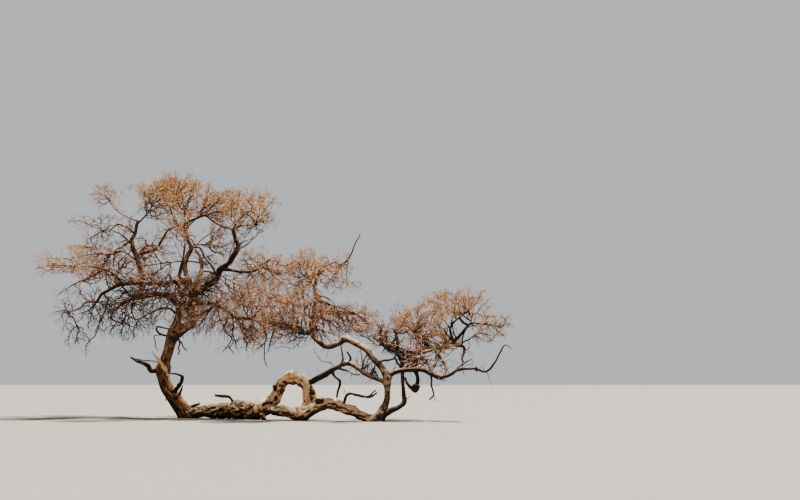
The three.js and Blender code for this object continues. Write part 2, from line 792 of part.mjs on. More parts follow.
// A way that a leaf can point from its root, in the room and clear of the limbs and of the leaves before
// it. It starts near the twig's own direction and turns further aside at each try.
function leafFrom(root, ahead, turned, room, rooms, blocked, taken, deal) {
  for (let go = 0; go < LEAF_TRIES; go += 1) {
    const aside = new THREE.Vector3(deal() - 0.5, deal() - 0.5, deal() - 0.5);
    const way = ahead.clone().addScaledVector(aside, turned + 0.5 * go).normalize();
    const middle = root.clone().addScaledVector(way, LEAF.length * LEAF.widest);
    const tip = root.clone().addScaledVector(way, LEAF.length);
    const inside = isInRoom(room, rooms, middle, LEAF.width / 2) && isInRoom(room, rooms, tip, ROOM_MARGIN / 2);
    if (inside && !touches(root, tip, LEAF.width / 2, [...blocked, ...taken])) {
      taken.push({ a: middle, b: tip, radius: 0 });
      return [middle, tip];
    }
  }
  return [];
}

const LEAF_RINGS = [[LEAF.width / Math.sqrt(3), LEAF.thickness], 0];

// Twigs as tubes, one for each unbroken run of joints, with a leaf drawn out of the end. A side twig
// starts in the middle of its parent, and so do the leaves that are left for the sides.
function twigSolids(room, rooms, joints, blocked, deal) {
  const bare = room.stem.points.length;
  const carriesOn = new Map();
  joints.forEach((joint, index) => {
    if (index < bare) return;
    const heir = carriesOn.get(joint.before);
    if (heir === undefined || joints[heir].tips < joint.tips) carriesOn.set(joint.before, index);
  });
  const solids = [];
  const taken = [];
  const ends = [];
  let left = room.mass.leaves;
  joints.forEach((joint, index) => {
    if (index < bare || (joint.before >= bare && carriesOn.get(joint.before) === index)) return;
    const run = [joint.before, index];
    for (let at = carriesOn.get(index); at !== undefined; at = carriesOn.get(at)) run.push(at);
    const places = run.map((at) => joints[at].place);
    const girths = run.map((at) => girthFor(joints[at].tips));
    const parent = joints[joint.before];
    places[0] = parent.place.clone().lerp(parent.from ?? joints[parent.before].place, JOIN_BACK);
    joint.from = places[0];
    girths[0] = Math.min(girths[1], girths[0] * JOIN_THIN);
    ends.push(places.slice(-2));
    const ahead = places.at(-1).clone().sub(places.at(-2)).normalize();
    const leaf = left > 0 ? leafFrom(places.at(-1), ahead, 0.4, room, rooms, blocked, taken, deal) : [];
    if (leaf.length) {
      left -= 1;
      girths.push(...LEAF_RINGS);
    } else {
      girths[girths.length - 1] = 0;
    }
    solids.push(tube([...places, ...leaf], girths, TWIG_SIDES, deal() * Math.PI));
  });
  for (let k = 0; k < 3 * ends.length && left > 0; k += 1) {
    const [inner, outer] = ends[k % ends.length];
    const root = inner.clone().lerp(outer, [0.6, 0.35, 0.8][Math.floor(k / ends.length)]);
    const ahead = outer.clone().sub(inner).normalize();
    const leaf = leafFrom(root, ahead, 2, room, rooms, blocked, taken, deal);
    if (!leaf.length) continue;
    left -= 1;
    solids.push(tube([root, ...leaf], [TWIG_TIP * 0.5, ...LEAF_RINGS], TWIG_SIDES, deal() * Math.PI));
  }
  return { solids, leaves: room.mass.leaves - left };
}

function stemOf(mass, limbs) {
  const bough = limbs.find((made) => made.limb.name === mass.bough).rings[0];
  const route = new THREE.CatmullRomCurve3(bough.points).getPointAt(mass.leave);
  const curve = new THREE.CatmullRomCurve3([route, ...mass.via.map(seen), seen(mass.heart)], false, "centripetal");
  const steps = Math.max(3, Math.round(curve.getLength() / TWIG_STEP));
  const points = [];
  for (let k = 0; k <= steps; k += 1) points.push(curve.getPointAt(k / steps));
  const thick = Math.min(girthFor(mass.tips) * 1.25, bough.girths[bough.girths.length - 1] * 0.9);
  return { points, girths: points.map((point, k) => THREE.MathUtils.lerp(thick, TWIG_TIP * 1.6, k / steps)) };
}

// Of several growths from the same rule, the one that bears the most leaves and twigs is kept.
function makeMass(room, rooms, limbs, capsules, index) {
  const blocked = capsules.filter((capsule) => capsule.owner !== room.mass.name);
  let fullest = { worth: -1 };
  for (let go = 0; go < GROWTH_TRIES; go += 1) {
    const deal = dealer(SEED + 1000 * index + go);
    const joints = growTwigs(room, rooms, room.stem, blocked, deal);
    const { solids, leaves } = twigSolids(room, rooms, joints, blocked, deal);
    const worth = solids.length + 2 * leaves;
    if (worth > fullest.worth) fullest = { worth, solids };
  }
  const { points, girths } = room.stem;
  const pieces = [tube(points, girths, girths[0] > 40 ? 5 : 4), ...fullest.solids];
  const joined = wasm.Manifold.union(pieces).simplify(FINENESS);
  return largestBody(clearOf(joined, limbs.flatMap((made) => made.grown)));
}

function meshFrom(name, solid, material) {
  const { numProp, numVert, vertProperties, triVerts } = solid.getMesh();
  const places = new Float32Array(numVert * 3);
  for (let i = 0; i < numVert; i += 1) places.set(vertProperties.subarray(i * numProp, i * numProp + 3), i * 3);
  const geometry = new THREE.BufferGeometry();
  geometry.setAttribute("position", new THREE.BufferAttribute(places, 3));
  geometry.setIndex(new THREE.BufferAttribute(triVerts, 1));
  geometry.computeVertexNormals();
  const mesh = new THREE.Mesh(geometry, material);
  mesh.name = name;
  return mesh;
}

const tree = new THREE.Group();
const limbs = [];
LIMBS.forEach((limb) => limbs.push(makeLimb(limb, limbs.flatMap((made) => made.grown))));
limbs.forEach(({ limb, solid }) => tree.add(meshFrom(limb.name, solid, BARK[limb.bark])));

const rooms = MASSES.map((mass) => ({
  mass,
  heart: seen(mass.heart),
  reach: new THREE.Vector3(mass.reach[0], mass.reach[2], mass.reach[1]),
  size: (mass.reach[0] + mass.reach[1] + mass.reach[2]) / 3,
  stem: stemOf(mass, limbs),
}));
const capsules = [
  ...limbs.flatMap((made) => made.rings.flatMap((ring) => capsulesOf(ring.points, ring.girths, made.limb.name))),
  ...rooms.flatMap((room) => capsulesOf(room.stem.points, room.stem.girths, room.mass.name)),
];
rooms.forEach((room, index) => {
  tree.add(meshFrom(room.mass.name, makeMass(room, rooms, limbs, capsules, index), FOLIAGE[room.mass.tint]));
});

export default tree;
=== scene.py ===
# %% [markdown]
# # A sprawling acacia, built piece by piece
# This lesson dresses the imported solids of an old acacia: a leaning trunk, a stem that lies on the
# ground and rises in an arch, crooked boughs and three open crowns of twigs and small dry leaves.
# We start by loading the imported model, because every piece has to sit where its solid sits.

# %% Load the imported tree
import math

import bpy
import numpy as np
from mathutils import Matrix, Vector


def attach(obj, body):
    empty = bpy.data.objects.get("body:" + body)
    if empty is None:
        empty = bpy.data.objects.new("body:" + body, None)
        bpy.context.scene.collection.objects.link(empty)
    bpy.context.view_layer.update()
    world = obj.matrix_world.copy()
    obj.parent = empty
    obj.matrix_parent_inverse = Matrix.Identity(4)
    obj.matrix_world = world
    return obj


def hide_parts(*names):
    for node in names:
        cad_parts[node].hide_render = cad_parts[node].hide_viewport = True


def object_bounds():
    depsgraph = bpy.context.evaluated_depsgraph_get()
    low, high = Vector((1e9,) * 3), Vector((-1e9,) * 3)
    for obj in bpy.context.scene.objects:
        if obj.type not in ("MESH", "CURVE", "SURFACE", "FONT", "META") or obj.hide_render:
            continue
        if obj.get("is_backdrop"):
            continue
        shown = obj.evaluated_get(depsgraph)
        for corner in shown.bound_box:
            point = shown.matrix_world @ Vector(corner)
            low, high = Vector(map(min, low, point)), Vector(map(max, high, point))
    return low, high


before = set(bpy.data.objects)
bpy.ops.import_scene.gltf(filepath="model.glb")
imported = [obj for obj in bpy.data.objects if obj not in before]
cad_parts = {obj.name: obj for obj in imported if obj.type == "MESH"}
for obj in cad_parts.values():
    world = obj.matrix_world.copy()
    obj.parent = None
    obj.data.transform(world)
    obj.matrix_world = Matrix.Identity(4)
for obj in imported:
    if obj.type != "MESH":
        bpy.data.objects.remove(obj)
CAD_LOW, CAD_HIGH = (list(corner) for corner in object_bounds())
print("solids:", len(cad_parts), "box:", CAD_LOW, CAD_HIGH)

# %% [markdown]
# ## The camera
# The picture was taken low down and from a distance, looking slightly up, so the horizon runs
# under the boughs. We could turn the camera until it looks right, but it is safer to write the
# sight line down as numbers: the limbs are placed along the same line, so they agree with it.

# %% Camera on the sight line
EYE = np.array([6.36, -30.4, 1.1])
SIGHT_TILT = math.radians(7.463)
SIGHT_LENGTH = 30.0
SIGHT_CENTRE = (6.36, 5.04)
LENS, SENSOR, FARTHEST_SEEN = 45.0, 36.0, 500

camera = bpy.data.objects.new("camera", bpy.data.cameras.new("camera"))
camera.data.lens, camera.data.sensor_width, camera.data.clip_end = LENS, SENSOR, FARTHEST_SEEN
camera.location = EYE
camera.rotation_euler = (math.radians(90) + SIGHT_TILT, 0, 0)
bpy.context.collection.objects.link(camera)
bpy.context.scene.camera = camera


def seen(points):
    """Points given as across, up and back from the viewer, as places in the tree's own frame."""
    across, up, back = np.asarray(points, float).reshape(-1, 3).T
    right, above = across - SIGHT_CENTRE[0], up - SIGHT_CENTRE[1]
    ray = np.column_stack([
        right,
        SIGHT_LENGTH * math.cos(SIGHT_TILT) - above * math.sin(SIGHT_TILT),
        SIGHT_LENGTH * math.sin(SIGHT_TILT) + above * math.cos(SIGHT_TILT),
    ])
    return EYE + ray * ((back - EYE[1]) / ray[:, 1])[:, None]


print("trunk foot:", seen([(0, 0, 0)]).round(3).tolist())

# %% [markdown]
# ## Floor and light
# A real desert floor would bring its own story, so the tree stands on a plain pale floor under
# a soft sky. One broad sun gives the boughs a lit and a shaded side. A large sun angle softens
# its shadows, which hard light would turn into a net of lines under so many twigs.

# %% Plain floor, soft sky and a broad sun
FLOOR_REACH, FLOOR_DROP, FLOOR_COLOUR = 260.0, 0.003, (0.37, 0.35, 0.325, 1)
GLOW_COLOUR, GLOW_STRENGTH = (0.95, 0.82, 0.7, 1), 0.17
SEEN_SKY_COLOUR, SEEN_SKY_STRENGTH = (0.8, 0.84, 0.88, 1), 0.72
SUN_WAY, SUN_COLOUR, SUN_STRENGTH, SUN_WIDTH = (-0.45, -0.05, -0.92), (1.0, 0.93, 0.83), 11.5, 4

floor_mesh = bpy.data.meshes.new("floor")
corners = [(x * FLOOR_REACH, y * FLOOR_REACH, -FLOOR_DROP) for x, y in ((-1, -1), (1, -1), (1, 1), (-1, 1))]
floor_mesh.from_pydata(corners, [], [(0, 1, 2, 3)])
floor = bpy.data.objects.new("floor", floor_mesh)
bpy.context.collection.objects.link(floor)
floor_finish = bpy.data.materials.new("pale_floor")
floor_finish.use_nodes = True
floor_shader = floor_finish.node_tree.nodes["Principled BSDF"]
floor_shader.inputs["Base Color"].default_value = FLOOR_COLOUR
floor_shader.inputs["Roughness"].default_value = 0.9
floor_mesh.materials.append(floor_finish)
floor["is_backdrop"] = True

sky = bpy.data.worlds.new("pale_sky")
sky.use_nodes = True
sky_nodes, sky_links = sky.node_tree.nodes, sky.node_tree.links
sky_glow, sky_seen = sky_nodes["Background"], sky_nodes.new("ShaderNodeBackground")
for part, colour, strength in ((sky_glow, GLOW_COLOUR, GLOW_STRENGTH),
                               (sky_seen, SEEN_SKY_COLOUR, SEEN_SKY_STRENGTH)):
    part.inputs["Color"].default_value = colour
    part.inputs["Strength"].default_value = strength
sky_choice = sky_nodes.new("ShaderNodeMixShader")
sky_links.new(sky_nodes.new("ShaderNodeLightPath").outputs["Is Camera Ray"], sky_choice.inputs[0])
sky_links.new(sky_glow.outputs[0], sky_choice.inputs[1])
sky_links.new(sky_seen.outputs[0], sky_choice.inputs[2])
sky_links.new(sky_choice.outputs[0], sky_nodes["World Output"].inputs["Surface"])
bpy.context.scene.world = sky

sun = bpy.data.objects.new("sun", bpy.data.lights.new("sun", "SUN"))
sun.data.energy, sun.data.angle, sun.data.color = SUN_STRENGTH, math.radians(SUN_WIDTH), SUN_COLOUR
sun.rotation_euler = Vector(SUN_WAY).to_track_quat("-Z", "Y").to_euler()
bpy.context.collection.objects.link(sun)
print("sun is", SUN_WIDTH, "degrees wide")

# %% [markdown]
# ## Smooth courses
# Boughs never run straight. Each one is a smooth curve through a few points, cut into even
# steps so that bark keeps one scale. We use the centripetal Catmull-Rom curve, which passes
# through its points without loops where they lie close together. A ring has to be carried along
# the curve without twisting, so each frame is the last one, turned no more than it must.

# %% Smooth courses
CUTS = 24


def even_course(points, spacing):
    """Evenly spaced places on a smooth curve through the points, and the share of the way at each."""
    points = np.asarray(points, float)
    padded = np.vstack([2 * points[0] - points[1], points, 2 * points[-1] - points[-2]])
    share = np.linspace(0, 1, CUTS, endpoint=False)[:, None]
    dense = []
    for p0, p1, p2, p3 in zip(padded, padded[1:], padded[2:], padded[3:]):
        d0, d1, d2 = (max(np.linalg.norm(b - a), 1e-6) ** 0.5 for a, b in ((p0, p1), (p1, p2), (p2, p3)))
        out = ((p1 - p0) / d0 - (p2 - p0) / (d0 + d1) + (p2 - p1) / d1) * d1
        into = ((p2 - p1) / d1 - (p3 - p1) / (d1 + d2) + (p3 - p2) / d2) * d1
        bend = -3 * p1 + 3 * p2 - 2 * out - into
        turn = 2 * p1 - 2 * p2 + out + into
        dense.append(p1 + out * share + bend * share**2 + turn * share**3)
    dense = np.vstack(dense + [points[-1:]])
    run = np.concatenate([[0], np.cumsum(np.linalg.norm(np.diff(dense, axis=0), axis=1))])
    at = np.linspace(0, run[-1], max(3, int(round(run[-1] / spacing))) + 1)
    return np.column_stack([np.interp(at, run, dense[:, i]) for i in range(3)]), at / run[-1], run[-1]


def unit(vectors):
    return vectors / np.maximum(np.linalg.norm(vectors, axis=-1, keepdims=True), 1e-12)


def carried_frames(points):
    """The way ahead and two directions across it at each point, turned no more than the course turns."""
    ahead = unit(np.gradient(points, axis=0))
    across = np.empty_like(ahead)
    aside = np.array([0, 0, 1.0]) if abs(ahead[0, 2]) < 0.9 else np.array([0, 1.0, 0])
    last = np.cross(ahead[0], aside)
    for k, way in enumerate(ahead):
        last = unit(last - way * (last @ way))
        across[k] = last
    return ahead, across, np.cross(ahead, across)


def spread(values, share):
    """A list of values laid evenly along a way, read at a share of it."""
    return np.interp(share, np.linspace(0, 1, len(values)), values)


print("places on a short bend:", len(even_course([(0, 0, 0), (1, 0, 0), (1, 1, 0)], 0.1)[0]))

# %% [markdown]
# ## Smooth noise
# Bark, knobs and the sway of the limbs need noise that is smooth and the same at every run.
# Blender has such noise, but it is asked for one place at a time. Gradient noise in numpy shapes
# thousands of vertices at once: every corner of a grid gets a slope from a hash of its numbers.

# %% Smooth noise
SLOPES = unit(np.array([
    (1, 1, 0), (-1, 1, 0), (1, -1, 0), (-1, -1, 0), (1, 0, 1), (-1, 0, 1), (1, 0, -1), (-1, 0, -1),
    (0, 1, 1), (0, -1, 1), (0, 1, -1), (0, -1, -1), (1, 1, 1), (-1, 1, -1), (1, -1, -1), (-1, -1, 1),
], float))


def swell(points, seed):
    """Smooth noise between about -1 and 1, with lumps one unit in size."""
    base = np.floor(points).astype(np.int64)
    part = points - base
    fade = part**3 * (part * (6 * part - 15) + 10)
    total = np.zeros(len(points))
    for corner in np.ndindex(2, 2, 2):
        key = (base + corner) @ np.array([73856093, 19349663, 83492791]) + seed * 7919
        key = (key ^ (key >> 15)) * 1274126177 & 0x7FFFFFFF
        slope = SLOPES[(key ^ (key >> 11)) >> 7 & 15]
        near = np.where(corner, fade, 1 - fade).prod(axis=1)
        total += near * ((part - corner) * slope).sum(axis=1)
    return np.clip(total * 1.9, -1, 1)


def seeded(number):
    return np.random.default_rng(number)


def ramp(value, low, high):
    """0 below low, 1 above high, smooth between."""
    share = np.clip((value - low) / (high - low), 0, 1)
    return share * share * (3 - 2 * share)


print("noise runs from", swell(seeded(1).uniform(0, 9, (2000, 3)), 3).min().round(2))

# %% [markdown]
# ## Where the limbs run
# The trunk and its boughs are the tree's signature: every crook can be recognised. Letting a
# program branch at random would give some acacia, but not this one, so each limb is written
# down, with the same numbers as in the solids. A row holds the bark, its tone (above zero lighter
# on dark bark and darker on the others, partly the bark's own colour and partly painted shade), the
# radii in millimetres from end to end, and the places that the limb passes, in centimetres across,
# up and back as seen. Snags are dead stubs on a limb, and a flare widens a foot.

# %% Limb table
LIMBS = {
    "trunk": ("dark", 0, (215, 205, 195, 182, 150, 150, 172), (1, -16, 0), (-6, 11, 0), (-27, 37, 0), (-56, 80, 2),
        (-73.5, 123, 4), (-70, 162, 5), (-54, 211, 8), (-45, 248, 10), (-37, 264, 11)),
    "dead_fork": ("grey", 0.12, (95, 72, 66, 54, 26), (-70, 148, 4), (-111, 142, 0), (-120, 157, -1),
        (-151, 170, -4), (-172, 182, -6)),
    "fork_left": ("dark", 0.05, (140, 112, 100, 94), (-40, 252, 10), (-31, 296, 6), (-27.5, 329, 2), (-42, 354, -1),
        (-59, 368, -4)),
    "low_bough": ("dark", -0.4, (92, 84, 80, 56), (-48, 362, -2), (-76, 369, -6), (-111, 368, -9), (-144, 365, -12),
        (-172, 355, -15)),
    "fork_right": ("dark", 0.1, (140, 132, 112, 98, 92, 82), (-38, 256, 11), (-9, 269, 17), (11.5, 282, 19),
        (14.5, 306, 16), (11.5, 332, 11), (18, 362, 6), (11, 390, 4), (-3, 413, 3)),
    "left_bough": ("dark", -0.4, (74, 66, 60, 56, 48, 38), (-2, 406, 3), (-40, 409, -8), (-84, 405, -20),
        (-150, 404, -34), (-200, 400, -46), (-232, 387, -54), (-257, 373, -60), (-274, 348, -64)),
    "left_upright": ("dark", -0.2, (88, 84, 80, 72, 56, 42), (-144, 365, -11), (-136, 403, -6), (-145, 453, 4),
        (-156, 486, 12), (-166, 515, 18), (-169, 534, 20), (-160, 553, 22), (-153, 580, 24), (-149, 594, 25)),
    "centre_upright": ("dark", -0.06, (80, 76, 68, 56, 44), (-2, 408, 3), (-9.5, 456, 12), (-2, 486, 18),
        (9, 508, 22), (3, 527, 24), (-9, 553, 26), (-9, 581, 27)),
    "right_upright": ("dark", -0.35, (90, 84, 86, 78, 66, 46), (15, 364, 6), (52, 393, -4), (87, 421, -14),
        (96, 446, -18), (121, 464, -22), (139, 490, -26), (150, 515, -29), (141, 541, -31), (135, 567, -32)),
    "right_arm": ("dark", -0.35, (50, 44, 42, 32), (93, 444, -17), (125, 444, -26), (163, 438, -38),
        (202, 443, -50), (211, 456, -56)),
    "right_lower": ("dark", -0.25, (62, 54, 48, 42, 32), (13, 343, 9), (48, 345, -15), (80, 342, -35),
        (120, 320, -56), (147, 301, -70), (188, 296, -88)),
    "front_bough": ("dark", 0.05, (78, 66, 54, 42), (12, 318, 13), (-6, 342, -30), (-26, 390, -82),
        (-24, 435, -126), (-16, 470, -156)),
    "back_bough": ("dark", 0.05, (78, 66, 54, 42), (13, 380, 4), (33, 418, 48), (42, 456, 100), (34, 486, 146),
        (24, 502, 172)),
    "ground_log": ("pale", 0.02, (150, 165, 215, 232, 275, 215), (-2, 11, 0), (40, 15, -22), (90, 20, -45),
        (140, 21.5, -72), (185, 23.5, -98), (216, 23.5, -116)),
    "arch_left": ("pale", -0.4, (200, 165, 158, 162, 162, 150), (208, 26, -112), (233, 43, -119), (259, 59, -124),
        (273, 81, -129), (282, 101, -134), (298, 116, -140), (319, 121, -145)),
    "log_curl": ("pale", -0.05, (72, 76, 84, 92), (232, -11, -144), (219, 15, -148), (223, 41, -146),
        (242, 50.5, -140), (264, 47, -130)),
    "arch_front_leg": ("pale", -0.4, (150, 128, 112, 102, 98, 88), (315, 121.5, -144), (338, 115, -151),
        (352, 100, -158), (353, 73, -165), (354, 48, -172), (344, 30, -179), (329, 19, -183)),
    "arch_back_leg": ("pale", 0.05, (118, 112, 102, 98, 104), (333, 111, -148), (359, 98, -140), (373, 75, -134),
        (376, 52, -135), (370, 33, -143), (362, 13, -152)),
    "log_middle": ("pale", -0.08, (140, 138, 148, 160, 165), (213, 22, -118), (244, 25, -140), (276, 20.5, -162),
        (313, 13, -178), (344, 9, -188)),
    "log_hump": ("pale", -0.14, (165, 156, 154, 150, 138, 120, 112), (338, 9, -187), (366, 19, -194),
        (392, 34, -201), (419, 45, -208), (445, 41.5, -216), (472, 30, -226), (504, 16, -238), (534, 4, -250),
        (562, -4, -261)),
    "right_trunk": ("grey", (0.5, 0.22, 0.05, -0.05, -0.1, -0.35), (135, 108, 84, 78, 80, 92), (566, -23, -264),
        (573, 1, -262), (585, 25, -260), (596, 52, -257), (598.5, 80, -255), (598, 106, -253), (599, 128, -251)),
    "right_stem": ("grey", (0.1, 0.1, 0.12, 0.25, 0.35), (92, 76, 68, 54, 50, 46, 36), (579, 6, -261),
        (612, 23.5, -256), (631, 32, -252), (648, 45, -248), (648, 69, -244), (645, 97, -240), (644, 129, -235),
        (644, 170, -230), (646, 194, -227)),
    "pale_bough": ("grey", -0.2, (88, 84, 88, 84, 78), (599, 122, -251.5), (573, 162, -248), (550, 187, -244),
        (537, 204, -240), (515, 217, -235), (488, 231, -230), (470, 238, -227)),
    "pale_bough_end": ("grey", 0, (77, 74, 70, 64, 58), (473, 238, -227.5), (448, 221, -223), (420, 213, -218),
        (398, 225, -213), (376, 246, -208), (370, 272, -204)),
    "mid_upright": ("dark", 0.6, (57, 52, 48, 38), (370, 269, -204.5), (376, 318, -198), (383, 363, -190),
        (381.5, 402, -184), (392, 431, -180)),
    "bridge_left": ("grey", (0.55, 0.5, 0.1, -0.15), (74, 84, 84, 68, 62), (350, 99, -156), (373, 111, -164),
        (408, 128, -180), (438, 147, -196), (465, 162, -210), (481, 165.5, -218.5)),
    "bridge_right": ("grey", (-0.2, -0.2, 0.0), (68, 60, 56, 56, 60), (596, 104, -253), (561, 120, -244),
        (536, 131, -238), (515, 144, -232), (493, 159, -225), (478, 165, -217)),
    "right_bough": ("grey", (-0.15, 0.25, 0.5, 0.55, 0.5), (76, 62, 62, 62, 54), (599, 123, -251),
        (620, 138.5, -256), (640, 142.5, -260), (666, 144, -264), (692, 146, -268), (713, 141, -272),
        (735, 129, -276), (757, 120.5, -280)),
    "right_bough_end": ("grey", 0.45, (53, 42, 34, 30, 24, 10), (754, 121, -279.5), (786, 129, -282),
        (810, 144, -283), (840, 147.5, -283), (866, 147, -282), (893, 139, -280), (921, 168, -278),
        (938, 200, -276), (952, 219, -275), (972, 208, -274)),
    "upper_right_bough": ("grey", -0.05, (46, 50, 54, 60, 54), (645, 175, -229.5), (660, 186, -220),
        (682, 190, -212), (718, 200, -200), (753, 210, -190), (787, 216, -182), (820, 218.5, -178)),
    "hook": ("grey", 0.6, (54, 50, 60, 44, 26), (680, 144, -266), (689, 123, -270), (686, 99, -273),
        (678, 86, -274), (665, 96, -274), (655, 109, -273), (652, 122, -272)),
}
SNAGS = {
    "trunk": [
        ("pale", -0.6, (30, 66, 52, 34, 16), (-60, 122, -10), (-70, 144, -14), (-80, 162, -16.5), (-92, 180, -20),
            (-108, 199, -23)),
        ("grey", 0.1, (80, 62, 58, 36, 22), (-44, 78, -6), (-24, 101, -20), (-17, 125, -24), (-32, 131, -25),
            (-56, 134, -26)),
        ("dark", 0, (50, 34, 16), (-28, 68, -10), (-20, 86, -20), (-16.5, 98, -26)),
        ("dark", 0, (34, 14), (-50, 64, -4), (-61, 62, -10), (-69, 52, -12)),
        ("dark", 0, (70, 34), (6, 28, -8), (22, 38, -12), (34, 42.5, -14)),
        ("pale", 0, (20, 22, 12), (-78, 160, -10), (-100, 170, -14), (-135, 173.5, -18), (-162, 179, -16)),
    ],
    "fork_right": [
        ("pale", -0.6, (50, 70, 55), (4, 406, 0), (-2, 418, -14), (-24, 421, -26)),
    ],
    "ground_log": [
        ("pale", 0.15, (50, 46, 52, 44), (138, 40, -74), (127, 60, -80), (106, 66.5, -86), (82, 68.5, -90)),
    ],
    "arch_left": [
        ("pale", 0, (70, 58), (274, 88, -130), (257, 90.5, -132)),
    ],
    "right_stem": [
        ("grey", 0, (24, 10), (645, 185, -229), (647, 202, -233), (656, 212, -235)),
    ],
}
FLARES = {"trunk": 0.095, "right_trunk": 0.062}
print("limbs:", len(LIMBS), "and snags:", sum(len(rows) for rows in SNAGS.values()))

# %% [markdown]
# ## Bark in relief
# Three kinds of surface show on this tree. The old trunk wears dark bark, broken into long
# plates with deep furrows between them. The stem on the ground and the arch have lost theirs:
# pale weathered wood, fluted and twisted, with fine cracks along the grain. The right trunk is
# in between. A bump texture alone would leave the outline of a limb perfectly smooth, so the
# large relief goes into the mesh. Noise is read on a cylinder around each limb's own axis and
# stretched along it, so the furrows follow every bend and close around it without a seam.

# %% Relief of the three barks
TWISTS = {"dark": 0.25, "pale": 1.3, "grey": 0.6}


def on_limb(angle, along, girth, turn=0.0):
    """A place on the limb's own unbent cylinder, turned a little for each metre along it."""
    around = angle + turn * along
    return np.column_stack([np.cos(around) * girth, np.sin(around) * girth, along])


def furrowed(angle, along, girth, seed):
    place = on_limb(angle, along, girth, TWISTS["dark"])
    bent = place + 0.014 * swell(place * [9, 9, 4], seed)[:, None]
    plates = ramp(np.abs(swell(bent * [19, 19, 2.6], seed + 1)), 0.0, 0.34)
    breaks = ramp(np.abs(swell(place * [13, 13, 8], seed + 2)), 0.0, 0.1)
    rough = swell(place * [62, 62, 26], seed + 3)
    depth = np.clip(girth / 0.17, 0.1, 1.15) * 0.017
    shape = 0.13 * girth * swell(place * [3.4, 3.4, 1.7] + 5, seed + 4)
    high = plates * (0.82 + 0.18 * breaks)
    return shape + depth * (high - 0.75 + 0.25 * rough), 1 - high


def weathered(angle, along, girth, seed):
    place = on_limb(angle, along, girth, TWISTS["pale"])
    strands = swell(place * [7, 7, 1.3], seed) * 0.2 * girth
    hollows = swell(place * [5.5, 5.5, 3.6] + 9, seed + 1) * 0.2 * girth
    holes = ramp(swell(place * [9, 9, 6] + 4, seed + 5), 0.16, 0.46)
    chunks = swell(place * [17, 17, 11] + 2, seed + 6) * 0.07 * girth
    cracks = 1 - ramp(np.abs(swell(place * [24, 24, 2.2], seed + 2)), 0.0, 0.14)
    pits = ramp(swell(place * [15, 15, 8], seed + 3), 0.4, 0.75)
    depth = np.clip(girth / 0.15, 0.15, 1.1) * 0.012
    grain = swell(place * [75, 75, 8], seed + 4) * 0.15
    sunk = strands + hollows + chunks - 0.2 * girth * holes - depth * (cracks + 0.8 * pits - grain)
    return sunk, np.clip(0.8 * cracks + 0.6 * pits + 0.4 * holes, 0, 1)


def scaly(angle, along, girth, seed):
    place = on_limb(angle, along, girth, TWISTS["grey"])
    plates = ramp(np.abs(swell(place * [22, 22, 5.5], seed)), 0.0, 0.22)
    rough = swell(place * [70, 70, 30], seed + 1)
    lumps = swell(place * [7, 7, 3] + 3, seed + 2) * 0.17 * girth
    depth = np.clip(girth / 0.12, 0.12, 1.1) * 0.01
    return lumps + depth * (plates - 0.8 + 0.25 * rough), 0.8 * (1 - plates)


# Each relief also says how deep a place sits in furrows, cracks or holes; the finishes paint such places darker,
# partly as painted shade.
RELIEF = {"dark": furrowed, "pale": weathered, "grey": scaly}
for bark, relief in RELIEF.items():
    lift, crevice = relief(np.linspace(0, 6, 50), np.linspace(0, 1, 50), np.full(50, 0.1), 1)
    print(bark, "bark runs from", lift.min().round(4), "to", lift.max().round(4))

# %% [markdown]
# ## Gaps, knots and ends
# A skin needs a few rules first. The gap from a place to other limbs tells where a crotch swells,
# and later which twigs keep clear. A knot is a knob with a small hollow, where a lost twig has
# left its mark. A living limb ends round and a snapped one in splinters. Whatever would go below
# ground is slid back along its limb, or lifted, to lie on it: we could cut there with a boolean,
# but that is slow and fails easily on rough bark.

# %% Gaps, knots and ends
KNOTS_PER_METRE = 2.6
KNOB_HEIGHT, HOLLOW_DEPTH, HOLLOW_SHARE = 0.3, 0.22, 0.4


def stretches_of(points, girths):
    return [(a, b, ra, rb) for a, b, ra, rb in zip(points, points[1:], girths, girths[1:])]


def gap_to(stretches, places):
    """How far each place is outside the nearest of the stretches: below zero inside one."""
    gap = np.full(len(places), np.inf)
    for a, b, ra, rb in stretches:
        way = b - a
        share = np.clip((places - a) @ way / max(way @ way, 1e-12), 0, 1)
        off = np.linalg.norm(places - a - share[:, None] * way, axis=1)
        gap = np.minimum(gap, off - ra - share * (rb - ra))
    return gap


def knotted(lift, crevice, run, girth, along, spoke, seed):
    """The relief with a knob at each knot and a hollow in the middle of it."""
    deal = seeded(seed)
    length = run[-1]
    knots = [(deal.uniform(0.05, 0.97) * length, deal.uniform(0, 2 * math.pi), deal.uniform(0.35, 0.75))
             for _ in range(int(length * KNOTS_PER_METRE))]
    for at, facing, size in knots:
        local = np.interp(at, run, girth)
        apart = np.hypot(along - at, local * ((spoke - facing + math.pi) % (2 * math.pi) - math.pi))
        knob = np.exp(-(apart / (size * local)) ** 2)
        hollow = np.exp(-(apart / (HOLLOW_SHARE * size * local)) ** 2)
        lift = lift + local * (KNOB_HEIGHT * knob - HOLLOW_DEPTH * hollow)
        # The knot's hollow joins the crevices that are painted darker.
        crevice = np.clip(crevice + 0.8 * hollow, 0, 1)
    return lift, crevice


def closed_end(places, sides, course, ahead, girth, turn, torn, seed):
    """Draws the last ring in to a blunt end or tears the last two, and gives the tip beyond them."""
    if torn:
        tear = swell(np.column_stack([np.cos(turn), np.sin(turn), 0 * turn]) * 2.6 + seed, seed + 5)
        places[-sides:] += np.outer(tear * 1.6 * girth[-1], ahead[-1])
        places[-2 * sides:-sides] += np.outer(tear * 0.7 * girth[-1], ahead[-1])
        return course[-1] - ahead[-1] * girth[-1] * 0.2
    places[-sides:] += (course[-1] - places[-sides:]) * 0.28
    return course[-1] + ahead[-1] * girth[-1] * 0.3


def laid_on_ground(places, ways):
    """Places below ground brought up to it: along the limb where it stands, straight up where it lies."""
    steep = (places[:, 2] < 0) & (np.abs(ways[:, 2]) > 0.5)
    places[steep] -= ways[steep] * (places[steep, 2] / ways[steep, 2])[:, None]
    places[:, 2] = np.maximum(places[:, 2], 0)
    return places


